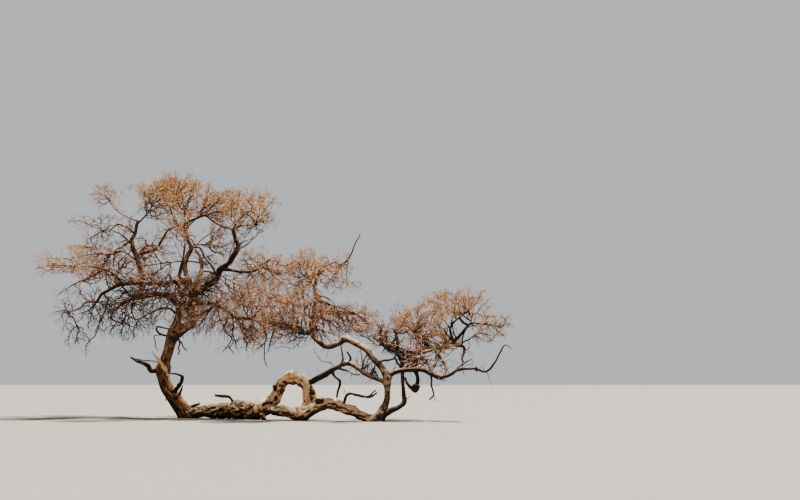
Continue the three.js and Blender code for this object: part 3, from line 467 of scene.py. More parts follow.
def ladder_faces(rings, sides):
    """Four-sided faces from ring to ring, and a fan of triangles at each end."""
    rows = np.arange(rings - 1)[:, None] * sides
    spot = np.arange(sides)[None]
    after = (spot + 1) % sides
    quads = np.stack([rows + spot, rows + after, rows + sides + after, rows + sides + spot], -1).reshape(-1, 4)
    first, last, end = rings * sides, rings * sides + 1, (rings - 1) * sides
    caps = np.vstack([np.column_stack([np.full(sides, first), after[0], spot[0]]),
                      np.column_stack([np.full(sides, last), end + spot[0], end + after[0]])])
    return quads, caps


print("faces of three rings of six:", [len(part) for part in ladder_faces(3, 6)])

# %% [markdown]
# ## One limb as a skin of rings
# A limb could be a curve with a bevel, but then bark, knots and flare would have no vertices to
# live in. Here each limb is a ladder of rings: the thicker it is, the more sides it gets, so that
# a face is about as large everywhere. Where one limb leaves another, both swell towards the
# crotch between them, as living wood does, and the meeting looks grown.

# %% Skin of a limb
SIDE_LENGTH, FEWEST_SIDES, MOST_SIDES = 0.017, 6, 96
RING_STEP, THIN_BOUGH, THIN_STEP, FULL_BOUGH = 0.029, 0.032, 1.4, 0.05
WAVER, WAVER_SCALE = 0.16, 0.35
FLARE_LENGTH, BUTTRESSES, BUTTRESS_DEPTH = 1.6, 5, 0.45
CROTCH_REACH, CROTCH_SWELL = 0.9, 3.2


def flare_of(limb, run):
    """How much wider a limb is along its first stretch."""
    return limb.get("flare", 0) * np.exp(-run / (FLARE_LENGTH * max(limb["radii"])))


def wavering(course, share, widest, seed):
    """The course with a slow sway, and both its ends held."""
    sway = np.column_stack([swell(course * (WAVER_SCALE / widest) + k * 31, seed + k) for k in range(3)])
    return course + sway * (WAVER * widest) * ramp(share, 0, 0.15)[:, None] * ramp(-share, -1, -0.85)[:, None]


def limb_skin(limb, bark, seed, neighbours=(), torn=False):
    """Vertices, faces and surface values of one limb or snag."""
    widest = max(limb["radii"])
    step = THIN_STEP if widest < THIN_BOUGH else np.clip(widest / FULL_BOUGH, 0.8, 1)
    course, share, length = even_course(limb["points"], RING_STEP * step)
    run, girth = share * length, spread(limb["radii"], share)
    foot = flare_of(limb, run)
    ahead, across, side = carried_frames(course)
    course = wavering(course, share, widest, seed)
    sides = int(np.clip(2 * math.pi * widest / SIDE_LENGTH, FEWEST_SIDES, MOST_SIDES))
    turn = np.linspace(0, 2 * math.pi, sides, endpoint=False)
    spoke = np.tile(turn, len(course))
    along, thick = np.repeat(run, sides), np.repeat(girth + foot, sides)
    out = (np.cos(spoke)[:, None] * np.repeat(across, sides, axis=0)
           + np.sin(spoke)[:, None] * np.repeat(side, sides, axis=0))
    lift, crevice = RELIEF[bark](spoke, along, thick, seed)
    lift = lift + np.repeat(foot, sides) * BUTTRESS_DEPTH * np.cos(BUTTRESSES * spoke + seed)
    lift, crevice = knotted(lift, crevice, run, girth, along, spoke, seed)
    centre = np.repeat(course, sides, axis=0)
    if neighbours:
        reach = CROTCH_REACH * min(widest, max(r for *_, r in neighbours))
        near = gap_to(neighbours, centre + out * thick[:, None])
        lift = lift + reach / CROTCH_SWELL * (1 - np.clip(near / reach, 0, 1)) ** 2
    places = centre + out * (thick + lift)[:, None]
    tip = closed_end(places, sides, course, ahead, girth, turn, torn, seed)
    places = np.vstack([places, course[:1], tip[None]])
    ways = np.vstack([np.repeat(ahead, sides, axis=0), ahead[:1], ahead[-1:]])
    quads, caps = ladder_faces(len(course), sides)
    grain = np.vstack([on_limb(spoke, along, thick), np.zeros((1, 3)), [[0, 0, length]]])
    tone = spread(np.atleast_1d(limb["tone"]), share)
    # The end caps get crevice values too: nearly black at a torn end, a little darker at a round one.
    return dict(places=laid_on_ground(places, ways), quads=quads, caps=caps, grain=grain,
                tone=np.concatenate([np.repeat(tone, sides), tone[[0, -1]]]),
                crevice=np.concatenate([crevice, [1.0, 0.9 if torn else 0.3]]))

# %% [markdown]
# ## From arrays to a Blender mesh
# Building a mesh face by face in Python is slow at this size. Blender can also take whole
# arrays at once with foreach_set, so this helper joins many skins into one mesh. At each vertex
# it stores three values for the materials: where it lies on its limb (grain), how deep it sits
# in furrows and cracks (crevice), which is painted darker, and how light or dark the limb is
# there (tone), which also moves the painted shade.

# %% Join skins into a piece
def joined_mesh(name, places, faces, finishes, kind=None, values=None, smooth=True):
    """A mesh object from one array of places and a list of face arrays of any one size each."""
    mesh = bpy.data.meshes.new(name)
    mesh.vertices.add(len(places))
    mesh.vertices.foreach_set("co", np.ascontiguousarray(places, np.float32).ravel())
    corners = np.concatenate([part.ravel() for part in faces])
    sizes = np.concatenate([np.full(len(part), part.shape[1]) for part in faces])
    mesh.loops.add(len(corners))
    mesh.loops.foreach_set("vertex_index", corners.astype(np.int32))
    mesh.polygons.add(len(sizes))
    mesh.polygons.foreach_set("loop_start", np.concatenate([[0], np.cumsum(sizes)[:-1]]).astype(np.int32))
    mesh.polygons.foreach_set("use_smooth", np.full(len(sizes), smooth))
    for finish in finishes:
        mesh.materials.append(finish)
    if kind is not None:
        mesh.polygons.foreach_set("material_index", kind.astype(np.int32))
    for label, data in (values or {}).items():
        form = "FLOAT_VECTOR" if data.ndim == 2 else "FLOAT"
        store = mesh.attributes.new(label, form, "POINT")
        store.data.foreach_set("vector" if data.ndim == 2 else "value", data.astype(np.float32).ravel())
    mesh.update()
    mesh.validate()
    piece = bpy.data.objects.new(name, mesh)
    bpy.context.collection.objects.link(piece)
    print(name, "has", int((sizes - 2).sum()), "triangles")
    return piece


def join_skins(name, skins, finish):
    """One piece from the skins of many limbs."""
    shift = np.cumsum([0] + [len(skin["places"]) for skin in skins])
    quads = np.vstack([skin["quads"] + at for skin, at in zip(skins, shift)])
    caps = np.vstack([skin["caps"] + at for skin, at in zip(skins, shift)])
    values = {label: np.concatenate([skin[label] for skin in skins]) for label in ("grain", "crevice", "tone")}
    return joined_mesh(name, np.vstack([skin["places"] for skin in skins]), [quads, caps], [finish], values=values)

# %% [markdown]
# ## Effects that the finishes share
# The three barks and the twigs need the same few effects: streaks along the grain, patches with
# soft edges, dust that settles on what faces the sky, and painted light and shade by the way a face
# looks. Copying the nodes into each material would work, but then a change has to be made many
# times. A shader node group is made once and placed with its own values. It puts out only masks and
# heights, and the shader itself stays in the material.

# %% Node helpers
def put(tree, kind, feeds=None, **settings):
    """One node: its settings, and for each named input a value or the socket that feeds it."""
    made = tree.nodes.new(kind)
    for label, value in settings.items():
        setattr(made, label, value)
    for label, value in (feeds or {}).items():
        if isinstance(value, bpy.types.NodeSocket):
            tree.links.new(value, made.inputs[label])
        else:
            made.inputs[label].default_value = value
    return made


def shader_group(name, inputs, outputs):
    """An empty group with named sockets: its tree, its entry and its exit."""
    tree = bpy.data.node_groups.new(name, "ShaderNodeTree")
    for label, form, value in inputs:
        socket = tree.interface.new_socket(name=label, in_out="INPUT", socket_type=form)
        if value is not None:
            socket.default_value = value
    for label in outputs:
        tree.interface.new_socket(name=label, in_out="OUTPUT", socket_type="NodeSocketFloat")
    return tree, tree.nodes.new("NodeGroupInput").outputs, tree.nodes.new("NodeGroupOutput").inputs


def reckoned(tree, how, *terms, **more):
    """A number worked out from others."""
    return put(tree, "ShaderNodeMath", dict(enumerate(terms)), operation=how, **more).outputs[0]


NUMBER, ARROW = "NodeSocketFloat", "NodeSocketVector"
print("sockets of a group:", NUMBER, ARROW)

# %% [markdown]
# ## Streaks, patches, dust and painted light
# Streaks are noise drawn out along the limb, on its own unbent cylinder. Patches are noise cut off
# at a height, so their cover can be chosen and changed by a limb's tone. Dust, with a painted
# highlight, lies on what faces the sky, and painted shade lies under it. Painting them by hand would
# take days, so the way that a face looks is shaken by noise, and two ragged masks are read from it.

# %% Streaks, patches, dust and painted light
grain_group, given, result = shader_group(
    "grain_streaks", [("Place", ARROW, None), ("Size", NUMBER, 60.0), ("Stretch", NUMBER, 7.0)],
    ["Height", "Streaks"])
long_way = reckoned(grain_group, "DIVIDE", given["Size"], given["Stretch"])
scales = put(grain_group, "ShaderNodeCombineXYZ", {"X": given["Size"], "Y": given["Size"], "Z": long_way})
laid = put(grain_group, "ShaderNodeVectorMath", {0: given["Place"], 1: scales.outputs[0]}, operation="MULTIPLY")
fine = put(grain_group, "ShaderNodeTexNoise",
           {"Vector": laid.outputs[0], "Scale": 1.0, "Detail": 6.0, "Roughness": 0.62})
broad = put(grain_group, "ShaderNodeTexNoise",
            {"Vector": laid.outputs[0], "Scale": 0.31, "Detail": 3.0, "Distortion": 0.6})
grain_group.links.new(fine.outputs[0], result["Height"])
sharp = put(grain_group, "ShaderNodeMapRange",
            {"Value": broad.outputs[0], "From Min": 0.36, "From Max": 0.64}, interpolation_type="SMOOTHSTEP")
grain_group.links.new(sharp.outputs[0], result["Streaks"])

patch_group, given, result = shader_group(
    "soft_patches",
    [("Place", ARROW, None), ("Size", NUMBER, 4.0), ("Cover", NUMBER, 0.5), ("Edge", NUMBER, 0.08)], ["Mask"])
cloud = put(patch_group, "ShaderNodeTexNoise",
            {"Vector": given["Place"], "Scale": given["Size"], "Detail": 7.0, "Roughness": 0.66})
low = reckoned(patch_group, "SUBTRACT", 1.0, given["Cover"])
high = reckoned(patch_group, "ADD", low, given["Edge"])
edge = put(patch_group, "ShaderNodeMapRange", {"Value": cloud.outputs[0], "From Min": low, "From Max": high},
           interpolation_type="SMOOTHSTEP")
patch_group.links.new(edge.outputs[0], result["Mask"])

# The upper mask lays dust and a painted highlight on what faces the sky; the lower mask lays painted shade on faces
# turned down, full a set depth below where it starts.
DUST_AND_HIGHLIGHT_FROM, DUST_AND_HIGHLIGHT_FULL, SHADE_DEPTH, SHADE_AMOUNT, SHAKE = 0.72, 1.2, 0.36, 0.97, 0.9
dust_and_painted_light_group, given, result = shader_group(
    "dust_and_painted_light", [("Place", ARROW, None), ("Size", NUMBER, 9.0), ("Amount", NUMBER, 0.6), ("Low", NUMBER, 0.78)],
    ["Up", "PaintedShade"])
facing = put(dust_and_painted_light_group, "ShaderNodeSeparateXYZ", {0: put(dust_and_painted_light_group, "ShaderNodeNewGeometry").outputs["Normal"]})
rough = put(dust_and_painted_light_group, "ShaderNodeTexNoise", {"Vector": given["Place"], "Scale": given["Size"], "Detail": 4.0})
shaken = reckoned(dust_and_painted_light_group, "MULTIPLY_ADD", rough.outputs[0], SHAKE, facing.outputs["Z"])
full_shade_at = reckoned(dust_and_painted_light_group, "SUBTRACT", given["Low"], SHADE_DEPTH)
for label, start, stop, amount in (("Up", DUST_AND_HIGHLIGHT_FROM, DUST_AND_HIGHLIGHT_FULL, given["Amount"]),
                                   ("PaintedShade", given["Low"], full_shade_at, SHADE_AMOUNT)):
    side_mask = put(dust_and_painted_light_group, "ShaderNodeMapRange",
                    {"Value": shaken, "From Min": start, "From Max": stop}, interpolation_type="SMOOTHSTEP")
    dust_and_painted_light_group.links.new(reckoned(dust_and_painted_light_group, "MULTIPLY", side_mask.outputs[0], amount), result[label])
print("groups:", [tree.name for tree in bpy.data.node_groups])

# %% [markdown]
# ## The three barks
# Each bark is built up in layers: first the colour of the wood or bark with its streaks, then
# patches where bark has gone or stayed, then dust with a painted highlight on the side that faces
# the sky and painted shade under it, and last the black of the furrows, partly their own colour and
# partly painted shade. Every layer is a mix of two colours by a mask, and a limb's tone moves the
# patches, the dust, the painted shade and a darkening towards black, which is painted shade on
# boughs that lie in shadow. The bump comes from the same streaks, so colour and relief agree.

# %% Bark finishes
BARK_SHINE = 0.22
BUMP_STRENGTH, BUMP_HEIGHT = 0.6, 0.012


def mixed(tree, mask, under, over):
    """A colour that changes from under to over where the mask is 1."""
    made = put(tree, "ShaderNodeMix", {"Factor": mask}, data_type="RGBA")
    for label, value in (("A", under), ("B", over)):
        socket = [s for s in made.inputs if s.name == label and s.type == "RGBA"][0]
        if isinstance(value, bpy.types.NodeSocket):
            tree.links.new(value, socket)
        else:
            socket.default_value = (*value, 1)
    return [s for s in made.outputs if s.type == "RGBA"][0]


def group_in(tree, group, feeds):
    return put(tree, "ShaderNodeGroup", feeds, node_tree=group)


def new_finish(name, shine):
    finish = bpy.data.materials.new(name)
    finish.use_nodes = True
    shader = finish.node_tree.nodes["Principled BSDF"]
    shader.inputs["Specular IOR Level"].default_value = shine
    return finish, finish.node_tree, shader


def dull_and_bumpy(tree, shader, height, dullness, strength, distance):
    """Roughness and bump of a finish, both from the same height."""
    dull = put(tree, "ShaderNodeMapRange", {"Value": height, "To Min": dullness[0], "To Max": dullness[1]})
    tree.links.new(dull.outputs[0], shader.inputs["Roughness"])
    relief = put(tree, "ShaderNodeBump", {"Height": height, "Strength": strength, "Distance": distance})
    tree.links.new(relief.outputs[0], shader.inputs["Normal"])


def bark_finish(name, wood, streak, patch, furrow_and_shade, dust_and_highlight, shade, size, stretch, cover, patch_size, low, turn=-1.6):
    """A bark in layers: patches, dusty top with painted highlight, painted shade and darkening vary with tone."""
    finish, tree, shader = new_finish(name, BARK_SHINE)
    grain = put(tree, "ShaderNodeAttribute", attribute_name="grain").outputs["Vector"]
    crevice = put(tree, "ShaderNodeAttribute", attribute_name="crevice").outputs["Fac"]
    tone = put(tree, "ShaderNodeAttribute", attribute_name="tone").outputs["Fac"]
    place = put(tree, "ShaderNodeTexCoord").outputs["Object"]
    spread_out = reckoned(tree, "ADD", tone, cover)
    streaks = group_in(tree, grain_group, {"Place": grain, "Size": size, "Stretch": stretch})
    patches = group_in(tree, patch_group, {"Place": place, "Size": patch_size, "Cover": spread_out, "Edge": 0.07})
    # Where the painted shade under a limb begins, moved by the limb's tone.
    shaded = reckoned(tree, "MULTIPLY_ADD", tone, -0.4 * turn, low)
    light = group_in(tree, dust_and_painted_light_group, {"Place": place, "Size": 8.0, "Amount": 0.85, "Low": shaded})
    colour = mixed(tree, streaks.outputs["Streaks"], wood, streak)
    colour = mixed(tree, patches.outputs["Mask"], colour, patch)
    # Limbs with a low tone on dark bark are mixed towards black: partly darker bark, partly painted shade on boughs
    # that lie in shadow.
    tone_darkening = reckoned(tree, "MULTIPLY", tone, min(0.0, -turn), use_clamp=True)
    colour = mixed(tree, tone_darkening, colour, furrow_and_shade)
    # Dust on what faces the sky, and with it a painted highlight; the tone makes barer limbs carry less.
    bare = reckoned(tree, "MULTIPLY_ADD", tone, turn, 1.0, use_clamp=True)
    colour = mixed(tree, reckoned(tree, "MULTIPLY", light.outputs["Up"], bare), colour, dust_and_highlight)
    # Painted shade on what faces down.
    colour = mixed(tree, light.outputs["PaintedShade"], colour, shade)
    # Furrows, cracks, pits and hollows painted nearly black: partly their own darker colour, partly painted shade
    # in the recesses.
    deep = put(tree, "ShaderNodeMapRange", {"Value": crevice, "From Min": 0.25, "From Max": 0.95})
    colour = mixed(tree, deep.outputs[0], colour, furrow_and_shade)
    tree.links.new(colour, shader.inputs["Base Color"])
    dull_and_bumpy(tree, shader, streaks.outputs["Height"], (0.72, 0.98), BUMP_STRENGTH, BUMP_HEIGHT)
    return finish


# In each bark the shade colour is painted shade under the limb, the dust colour also paints a highlight on top, and
# the furrow colour also paints shade in the recesses and on dark boughs.
BARKS = {
    "dark": bark_finish(
        "dark_bark", wood=(0.14, 0.055, 0.024), streak=(0.27, 0.125, 0.058), patch=(0.4, 0.22, 0.115),
        furrow_and_shade=(0.014, 0.006, 0.003), dust_and_highlight=(0.5, 0.28, 0.145), shade=(0.026, 0.009, 0.003),
        size=38.0, stretch=7.0, cover=0.47, patch_size=5.0, low=0.55, turn=1.6),
    "pale": bark_finish(
        "bare_weathered_wood", wood=(0.9, 0.5, 0.22), streak=(0.99, 0.69, 0.38), patch=(0.08, 0.034, 0.014),
        furrow_and_shade=(0.022, 0.008, 0.002), dust_and_highlight=(0.99, 0.8, 0.54), shade=(0.03, 0.009, 0.002),
        size=26.0, stretch=9.0, cover=0.49, patch_size=22.0, low=0.65),
    "grey": bark_finish(
        "grey_bark", wood=(0.2, 0.1, 0.05), streak=(0.46, 0.27, 0.15), patch=(0.05, 0.02, 0.009),
        furrow_and_shade=(0.018, 0.008, 0.004), dust_and_highlight=(0.9, 0.68, 0.45), shade=(0.014, 0.006, 0.003),
        size=34.0, stretch=8.0, cover=0.53, patch_size=11.0, low=0.65),
}
print("barks:", list(BARKS))

# %% [markdown]
# ## Small boughs between the limbs and the twigs
# Between the limbs and the fine twigs run many crooked small boughs: some hang, some cross from
# one bough to another, some are dead and broken. They decide how the open crown reads against
# the sky, so they are written down as well. Each starts inside the limb that carries it, at
# that limb's own depth, so it also sits on it when the tree is seen from behind. A row holds the
# limb or mass that carries it, its first and last radius in millimetres, and in centimetres how
# far back it starts and ends and the places it passes, across and up.

# %% Table of small boughs
BRANCHES = {
    "reach_left": ("left_bough", 28, 12, -64, -100, (-274, 348), (-304, 347), (-324, 330), (-350, 321), (-375, 322),
        (-406, 317)),
    "reach_left_fork": ("reach_left", 16, 9, -86, -74, (-351, 321), (-362, 300), (-370, 277)),
    "hang_left": ("left_bough", 26, 9, -60, -94, (-255, 374), (-240, 354), (-258, 302), (-273, 265), (-278, 248),
        (-295, 232), (-307, 213), (-303, 186)),
    "sweep_left": ("far_left", 24, 12, -67, -30, (-255, 445), (-295, 422), (-330, 407), (-370, 384), (-392, 367)),
    "far_tip": ("far_left", 24, 10, -83, -110, (-324, 453), (-388, 458), (-429, 455), (-460, 448)),
    "near_run": ("near_left", 27, 14, 52, 86, (-198, 500), (-234, 491), (-270, 493), (-333, 484)),
    "dark_crook": ("left_upper", 22, 12, -43, -80, (-246, 567), (-276, 549), (-292, 538), (-285, 514), (-312, 513),
        (-343, 520)),
    "upper_hook": ("left_upright", 33, 18, 22, -20, (-160, 553), (-172, 565), (-192, 576), (-210, 581),
        (-237, 560)),
    "low_tie": ("low_bough", 36, 27, -14, -46, (-158, 360), (-180, 376), (-200, 398)),
    "low_sweep": ("low_bough", 39, 15, -15, 42, (-170, 356), (-198, 341), (-225, 317), (-228, 297), (-201, 285),
        (-163, 273)),
    "hang_inner": ("fork_left", 33, 15, 4, -50, (-31, 309), (-54, 327), (-73, 330), (-113, 315), (-147, 293),
        (-162, 269), (-162, 238)),
    "diagonal": ("left_upright", 45, 30, 12, 26, (-156, 486), (-129, 496), (-100, 504), (-74, 540), (-61, 562),
        (-36, 574), (-10, 573)),
    "top_crook": ("centre_upright", 33, 20, 26, -12, (-9, 570), (-32, 582), (-45, 603), (-54, 630)),
    "arch_bough": ("centre_upright", 42, 28, 26, -32, (-8, 573), (6, 590), (24, 598), (53, 607), (78, 589),
        (108, 573), (136, 565)),
    "cross_bough": ("right_upright", 40, 28, -14, 22, (88, 424), (72, 456), (50, 484), (33, 512), (8, 508)),
    "right_top_run": ("right_upright", 32, 15, -32, -70, (136, 565), (159, 575), (186, 579), (219, 579)),
    "right_top_fork": ("right_top_run", 22, 10, -60, -66, (195, 579), (219, 598), (245, 618)),
    "arm_run": ("right_arm", 30, 15, -56, -95, (211, 455), (238, 450), (267, 430), (280, 440)),
    "fork_crook": ("fork_right", 26, 12, 16, -10, (14, 306), (27, 299), (37, 300), (46, 318)),
    "trunk_bracket": ("trunk", 36, 24, 10, -22, (-46, 248), (-72, 248), (-92, 260), (-93, 273), (-75, 271),
        (-57, 267)),
    "bracket_hang": ("trunk_bracket", 20, 12, 2, -20, (-72, 248), (-90, 249), (-102, 246), (-98, 228), (-98, 216),
        (-90, 201)),
    "trunk_hang": ("trunk", 33, 20, 10, -16, (-39, 255), (-28, 238), (-25, 225), (-28, 210), (-26, 201),
        (-30, 189)),
    "trunk_hang_fork": ("trunk_hang", 26, 16, 1, -20, (-28, 234), (-19, 225), (-14, 212), (-2, 202)),
    "mid_link": ("pale_bough_end", 51, 33, -206, -88, (374, 254), (336, 255), (306, 272), (261, 284), (219, 287),
        (187, 296)),
    "mid_link_upright": ("mid_link", 33, 15, -164, -154, (309, 270), (316, 297), (316, 324), (313, 356),
        (336, 388)),
    "mid_link_twin": ("mid_link", 27, 14, -185, -220, (339, 255), (342, 294), (352, 327), (372, 346)),
    "mid_tip": ("mid_right_top", 30, 12, -252, -244, (454, 458), (477, 472), (492, 498), (501, 522), (518, 553)),
    "dead_thin": ("log_hump", 45, 30, -223, -256, (466, 33), (474, 62), (485, 73), (502, 70), (528, 64), (549, 64),
        (567, 75)),
    "dead_thin_fork": ("dead_thin", 36, 20, -247, -240, (537, 63), (551, 71), (555, 77), (564, 84)),
    "hump_knob": ("log_hump", 108, 96, -202, -214, (395, 32), (398, 50), (399, 61)),
    "hump_leg": ("log_hump", 69, 54, -246, -252, (524, 6), (528, -9), (529, -24)),
    "bridge_drop": ("bridge_left", 48, 27, -191, -198, (429, 142), (442, 124), (454, 114), (456, 100), (450, 82),
        (446, 60)),
    "bridge_low": ("bridge_left", 33, 22, -200, -226, (446, 151), (465, 145), (481, 142), (498, 131), (517, 130)),
    "bridge_spike": ("bridge_left", 33, 16, -210, -220, (466, 162), (463, 192), (458, 219)),
    "bridge_thin": ("bridge_left", 21, 10, -197, -172, (441, 149), (429, 166), (402, 171), (387, 189), (376, 207)),
    "bridge_stub": ("bridge_left", 36, 24, -219, -228, (482, 166), (488, 178), (478, 198)),
    "bridge_side": ("bridge_right", 33, 20, -237, -222, (534, 133), (549, 136), (566, 138)),
    "stem_fork": ("right_left", 51, 33, -238, -216, (626, 203), (629, 224), (627, 244), (618, 267)),
    "stem_snag": ("stem_thin", 21, 12, -250, -256, (625, 171), (618, 183), (626, 190)),
    "stem_thin": ("right_stem", 33, 22, -234, -260, (644, 141), (635, 156), (625, 171), (623, 178), (603, 174),
        (588, 173), (576, 167), (570, 153)),
    "bough_hang": ("right_bough", 30, 20, -274, -272, (728, 132), (731, 114), (730, 99), (735, 81), (737, 68),
        (723, 54)),
    "bough_ring": ("upper_right_bough", 48, 34, -190, -280, (758, 210), (752, 192), (761, 176), (774, 156),
        (771, 136), (754, 121)),
    "stem_arm": ("right_left", 54, 36, -233, -278, (644, 162), (632, 186), (617, 202), (600, 207), (580, 226),
        (577, 249), (579, 264)),
    "right_crook": ("upper_right_bough", 45, 24, -195, -146, (728, 207), (714, 223), (694, 243), (678, 257),
        (687, 267), (701, 275), (707, 291)),
    "right_loop": ("upper_right_bough", 48, 30, -179, -168, (798, 217), (798, 229), (814, 246), (831, 265),
        (839, 278), (824, 288), (816, 301), (821, 310), (844, 320)),
    "right_loop_twin": ("right_loop", 39, 24, -178, -177, (798, 230), (789, 252), (787, 268), (798, 288),
        (815, 301)),
    "right_run": ("right_loop", 33, 16, -173, -250, (838, 278), (855, 285), (893, 281), (918, 278), (942, 273)),
    "right_low_run": ("upper_right_bough", 24, 12, -178, -230, (818, 218), (828, 229), (844, 236), (860, 249),
        (879, 255), (906, 248)),
    "right_spike": ("upper_right_bough", 33, 18, -179, -204, (802, 217), (789, 237), (776, 252), (768, 267)),
    "mid_crown_run": ("mid_upright", 33, 16, -184, -220, (383, 399), (387, 426), (400, 450), (422, 460),
        (444, 468)),
    "mid_low_run": ("mid_upright", 27, 14, -190, -160, (380, 354), (402, 350), (429, 340), (459, 330)),
    "bough_drop": ("upper_right_bough", 42, 28, -178, -240, (819, 218), (829, 210), (827, 195), (823, 180),
        (826, 164)),
    "bough_tip": ("right_bough_end", 36, 15, -282, -234, (795, 135), (807, 147), (817, 157), (827, 163), (841, 172),
        (852, 177)),
    "bough_knob": ("right_bough_end", 36, 24, -282, -286, (865, 140), (866, 148), (863, 155)),
    "ring_twin": ("upper_right_bough", 54, 36, -193, -274, (744, 207), (748, 187), (745, 174), (741, 161),
        (733, 148), (729, 135)),
    "inner_strand": ("upper_right_bough", 39, 27, -213, -272, (675, 188), (698, 182), (714, 176), (721, 162),
        (727, 140)),
    "weft_high": ("inner_strand", 27, 18, -243, -260, (714, 176), (694, 176), (676, 170), (660, 160), (648, 144)),
    "weft_low": ("inner_strand", 27, 18, -257, -262, (721, 160), (708, 166), (690, 163), (675, 155)),
    "cave_strand": ("upper_right_bough", 51, 42, -216, -260, (669, 188), (663, 177), (665, 166), (657, 154),
        (653, 144)),
    "hook_knob": ("hook", 111, 75, -273, -275, (686, 99), (683, 87), (676, 79)),
    "near_strand": ("left_bough", 48, 24, -48, 4, (-213, 400), (-218, 415), (-214, 428), (-206, 440), (-202, 449),
        (-188, 469), (-185, 483)),
    "near_olive": ("near_strand", 27, 16, -14, 0, (-198, 455), (-188, 453), (-182, 465), (-173, 468)),
    "near_curl": ("near_strand", 27, 14, -24, 14, (-206, 439), (-208, 459), (-208, 469), (-200, 475), (-190, 484),
        (-184, 492), (-173, 495)),
    "near_left_arm": ("near_strand", 33, 15, -31, -66, (-214, 430), (-227, 430), (-242, 431), (-250, 445),
        (-255, 451), (-267, 448), (-286, 453)),
    "left_crook": ("left_upright", 30, 15, 19, -18, (-168, 531), (-178, 528), (-200, 512), (-214, 506), (-219, 495),
        (-223, 474), (-224, 454)),
    "bough_twin": ("left_upright", 39, 21, -6, -46, (-137, 405), (-155, 410), (-169, 419), (-184, 412), (-198, 416),
        (-212, 415)),
    "droop_one": ("right_lower", 28, 14, -64, -82, (135, 309), (135, 291), (137, 274), (134, 258), (136, 245),
        (143, 227), (144, 207)),
    "droop_two": ("right_lower", 32, 14, -58, -78, (123, 318), (112, 280), (108, 268), (116, 254), (131, 240),
        (128, 230), (119, 215), (106, 203)),
    "droop_two_fork": ("droop_two", 18, 12, -75, -80, (122, 219), (126, 207), (135, 199), (136, 190)),
    "droop_three": ("right_lower", 28, 14, -72, -96, (150, 299), (155, 274), (166, 256), (168, 236), (175, 223),
        (176, 212), (172, 201)),
    "droop_four": ("mid_link", 28, 14, -92, -110, (195, 294), (189, 279), (190, 258), (191, 240), (199, 225),
        (195, 213)),
    "droop_five": ("mid_link", 30, 14, -113, -142, (228, 287), (228, 267), (235, 247), (232, 228), (217, 215),
        (208, 207)),
    "droop_six": ("mid_link", 28, 14, -126, -156, (249, 285), (258, 261), (251, 243), (247, 228), (243, 212),
        (242, 200)),
    "droop_long": ("droop_five", 18, 12, -131, -134, (231, 229), (229, 204), (230, 173), (237, 153)),
    "arch_knob": ("arch_left", 72, 57, -136, -148, (270, 75), (261, 84), (259, 99)),
}
SNAPPED = ("dead_fork", "hook", "bridge_stub", "bough_drop", "bridge_side", "dead_thin", "stem_snag")
print("small boughs:", len(BRANCHES), "and snapped limbs:", len(SNAPPED))

# %% [markdown]
# ## From rows to limbs
# The rows become limbs in metres, in the tree's own frame. Each also gets a few coarse
# stretches, because gaps are measured many times and a fine course would make that slow.

# %% From rows to limbs
GIRTHS_FOR_STRETCH = 3.4


def wired(radii, route, **more):
    """A limb from its radii and its route as seen, both in metres, with its coarse stretches."""
    made = dict(more, radii=radii, points=seen(route))
    course, share, length = even_course(made["points"], GIRTHS_FOR_STRETCH * max(radii))
    made["stretches"] = stretches_of(course, spread(radii, share) + flare_of(made, share * length))
    return made


def from_row(bark, tone, radii, *route, **more):
    return wired(np.array(radii) / 1000, np.array(route) / 100, bark=bark, tone=tone, **more)


def laid_back(carrier, thick, thin, start, end, *places):
    """A small bough from its row, its depth running evenly from start to end."""
    flat = np.array(places) / 100
    run = np.concatenate([[0], np.cumsum(np.linalg.norm(np.diff(flat, axis=0), axis=1))])
    depths = np.interp(run, (0, run[-1]), np.array([start, end]) / 100)
    return wired(np.array([thick, thin]) / 1000, np.column_stack([flat, depths]), carrier=carrier)


LIMBS = {name: from_row(*row, flare=FLARES.get(name, 0)) for name, row in LIMBS.items()}
BRANCHES = {name: laid_back(*row) for name, row in BRANCHES.items()}
EVERY_STRETCH = [piece for limb in LIMBS.values() for piece in limb["stretches"]]
print("stretches:", len(EVERY_STRETCH))

# %% [markdown]
# ## The skins of all limbs
# Now every limb and snag in the tables becomes a skin. A limb swells towards its neighbours, so
# each is told which stretches come near it. The skins are kept by bark: one mesh for each kind
# stands for the solids it covers.

# %% Build the limbs
SEED = 7
SNAG_SEEDS = 90


def boxes_meet(first, second, slack=0.3):
    """Whether the boxes round two lists of stretches come within a slack of each other."""
    ends = [np.array([p for a, b, *_ in part for p in (a, b)]) for part in (first, second)]
    low, high = np.maximum(ends[0].min(0), ends[1].min(0)), np.minimum(ends[0].max(0), ends[1].max(0))
    return bool(np.all(low - slack <= high + slack))


skins = {home: [] for home in ("dark", "pale", "grey", "dark_crown", "grey_crown")}
for number, (name, limb) in enumerate(LIMBS.items()):
    near = [piece for other, made in LIMBS.items()
            if other != name and boxes_meet(limb["stretches"], made["stretches"])
            for piece in made["stretches"]]
    skins[limb["bark"]].append(limb_skin(limb, limb["bark"], SEED + number, near, torn=name in SNAPPED))
    for k, row in enumerate(SNAGS.get(name, ())):
        snag, seed = from_row(*row), SNAG_SEEDS + 7 * number + k
        skins[snag["bark"]].append(limb_skin(snag, snag["bark"], seed, limb["stretches"], torn=True))
print("skins:", {bark: len(part) for bark, part in skins.items()})

# %% [markdown]
# ## Rooms for the crown
# The solids divide the crown into masses, and each has its own room: an ellipsoid, with a flat
# wall where it meets the next room. The finer twigs have to stay in the same rooms, or the tree
# would outgrow its solids, so the same rule is written again here. A row names the bough and the
# share of its length where the stem leaves, the tint, the tips in the solids, how leafy the mass
# is, how much it hangs, how full it is and which side is fuller (above zero the top), and in
# centimetres across, up and back the places that the stem passes, the heart and the reach.

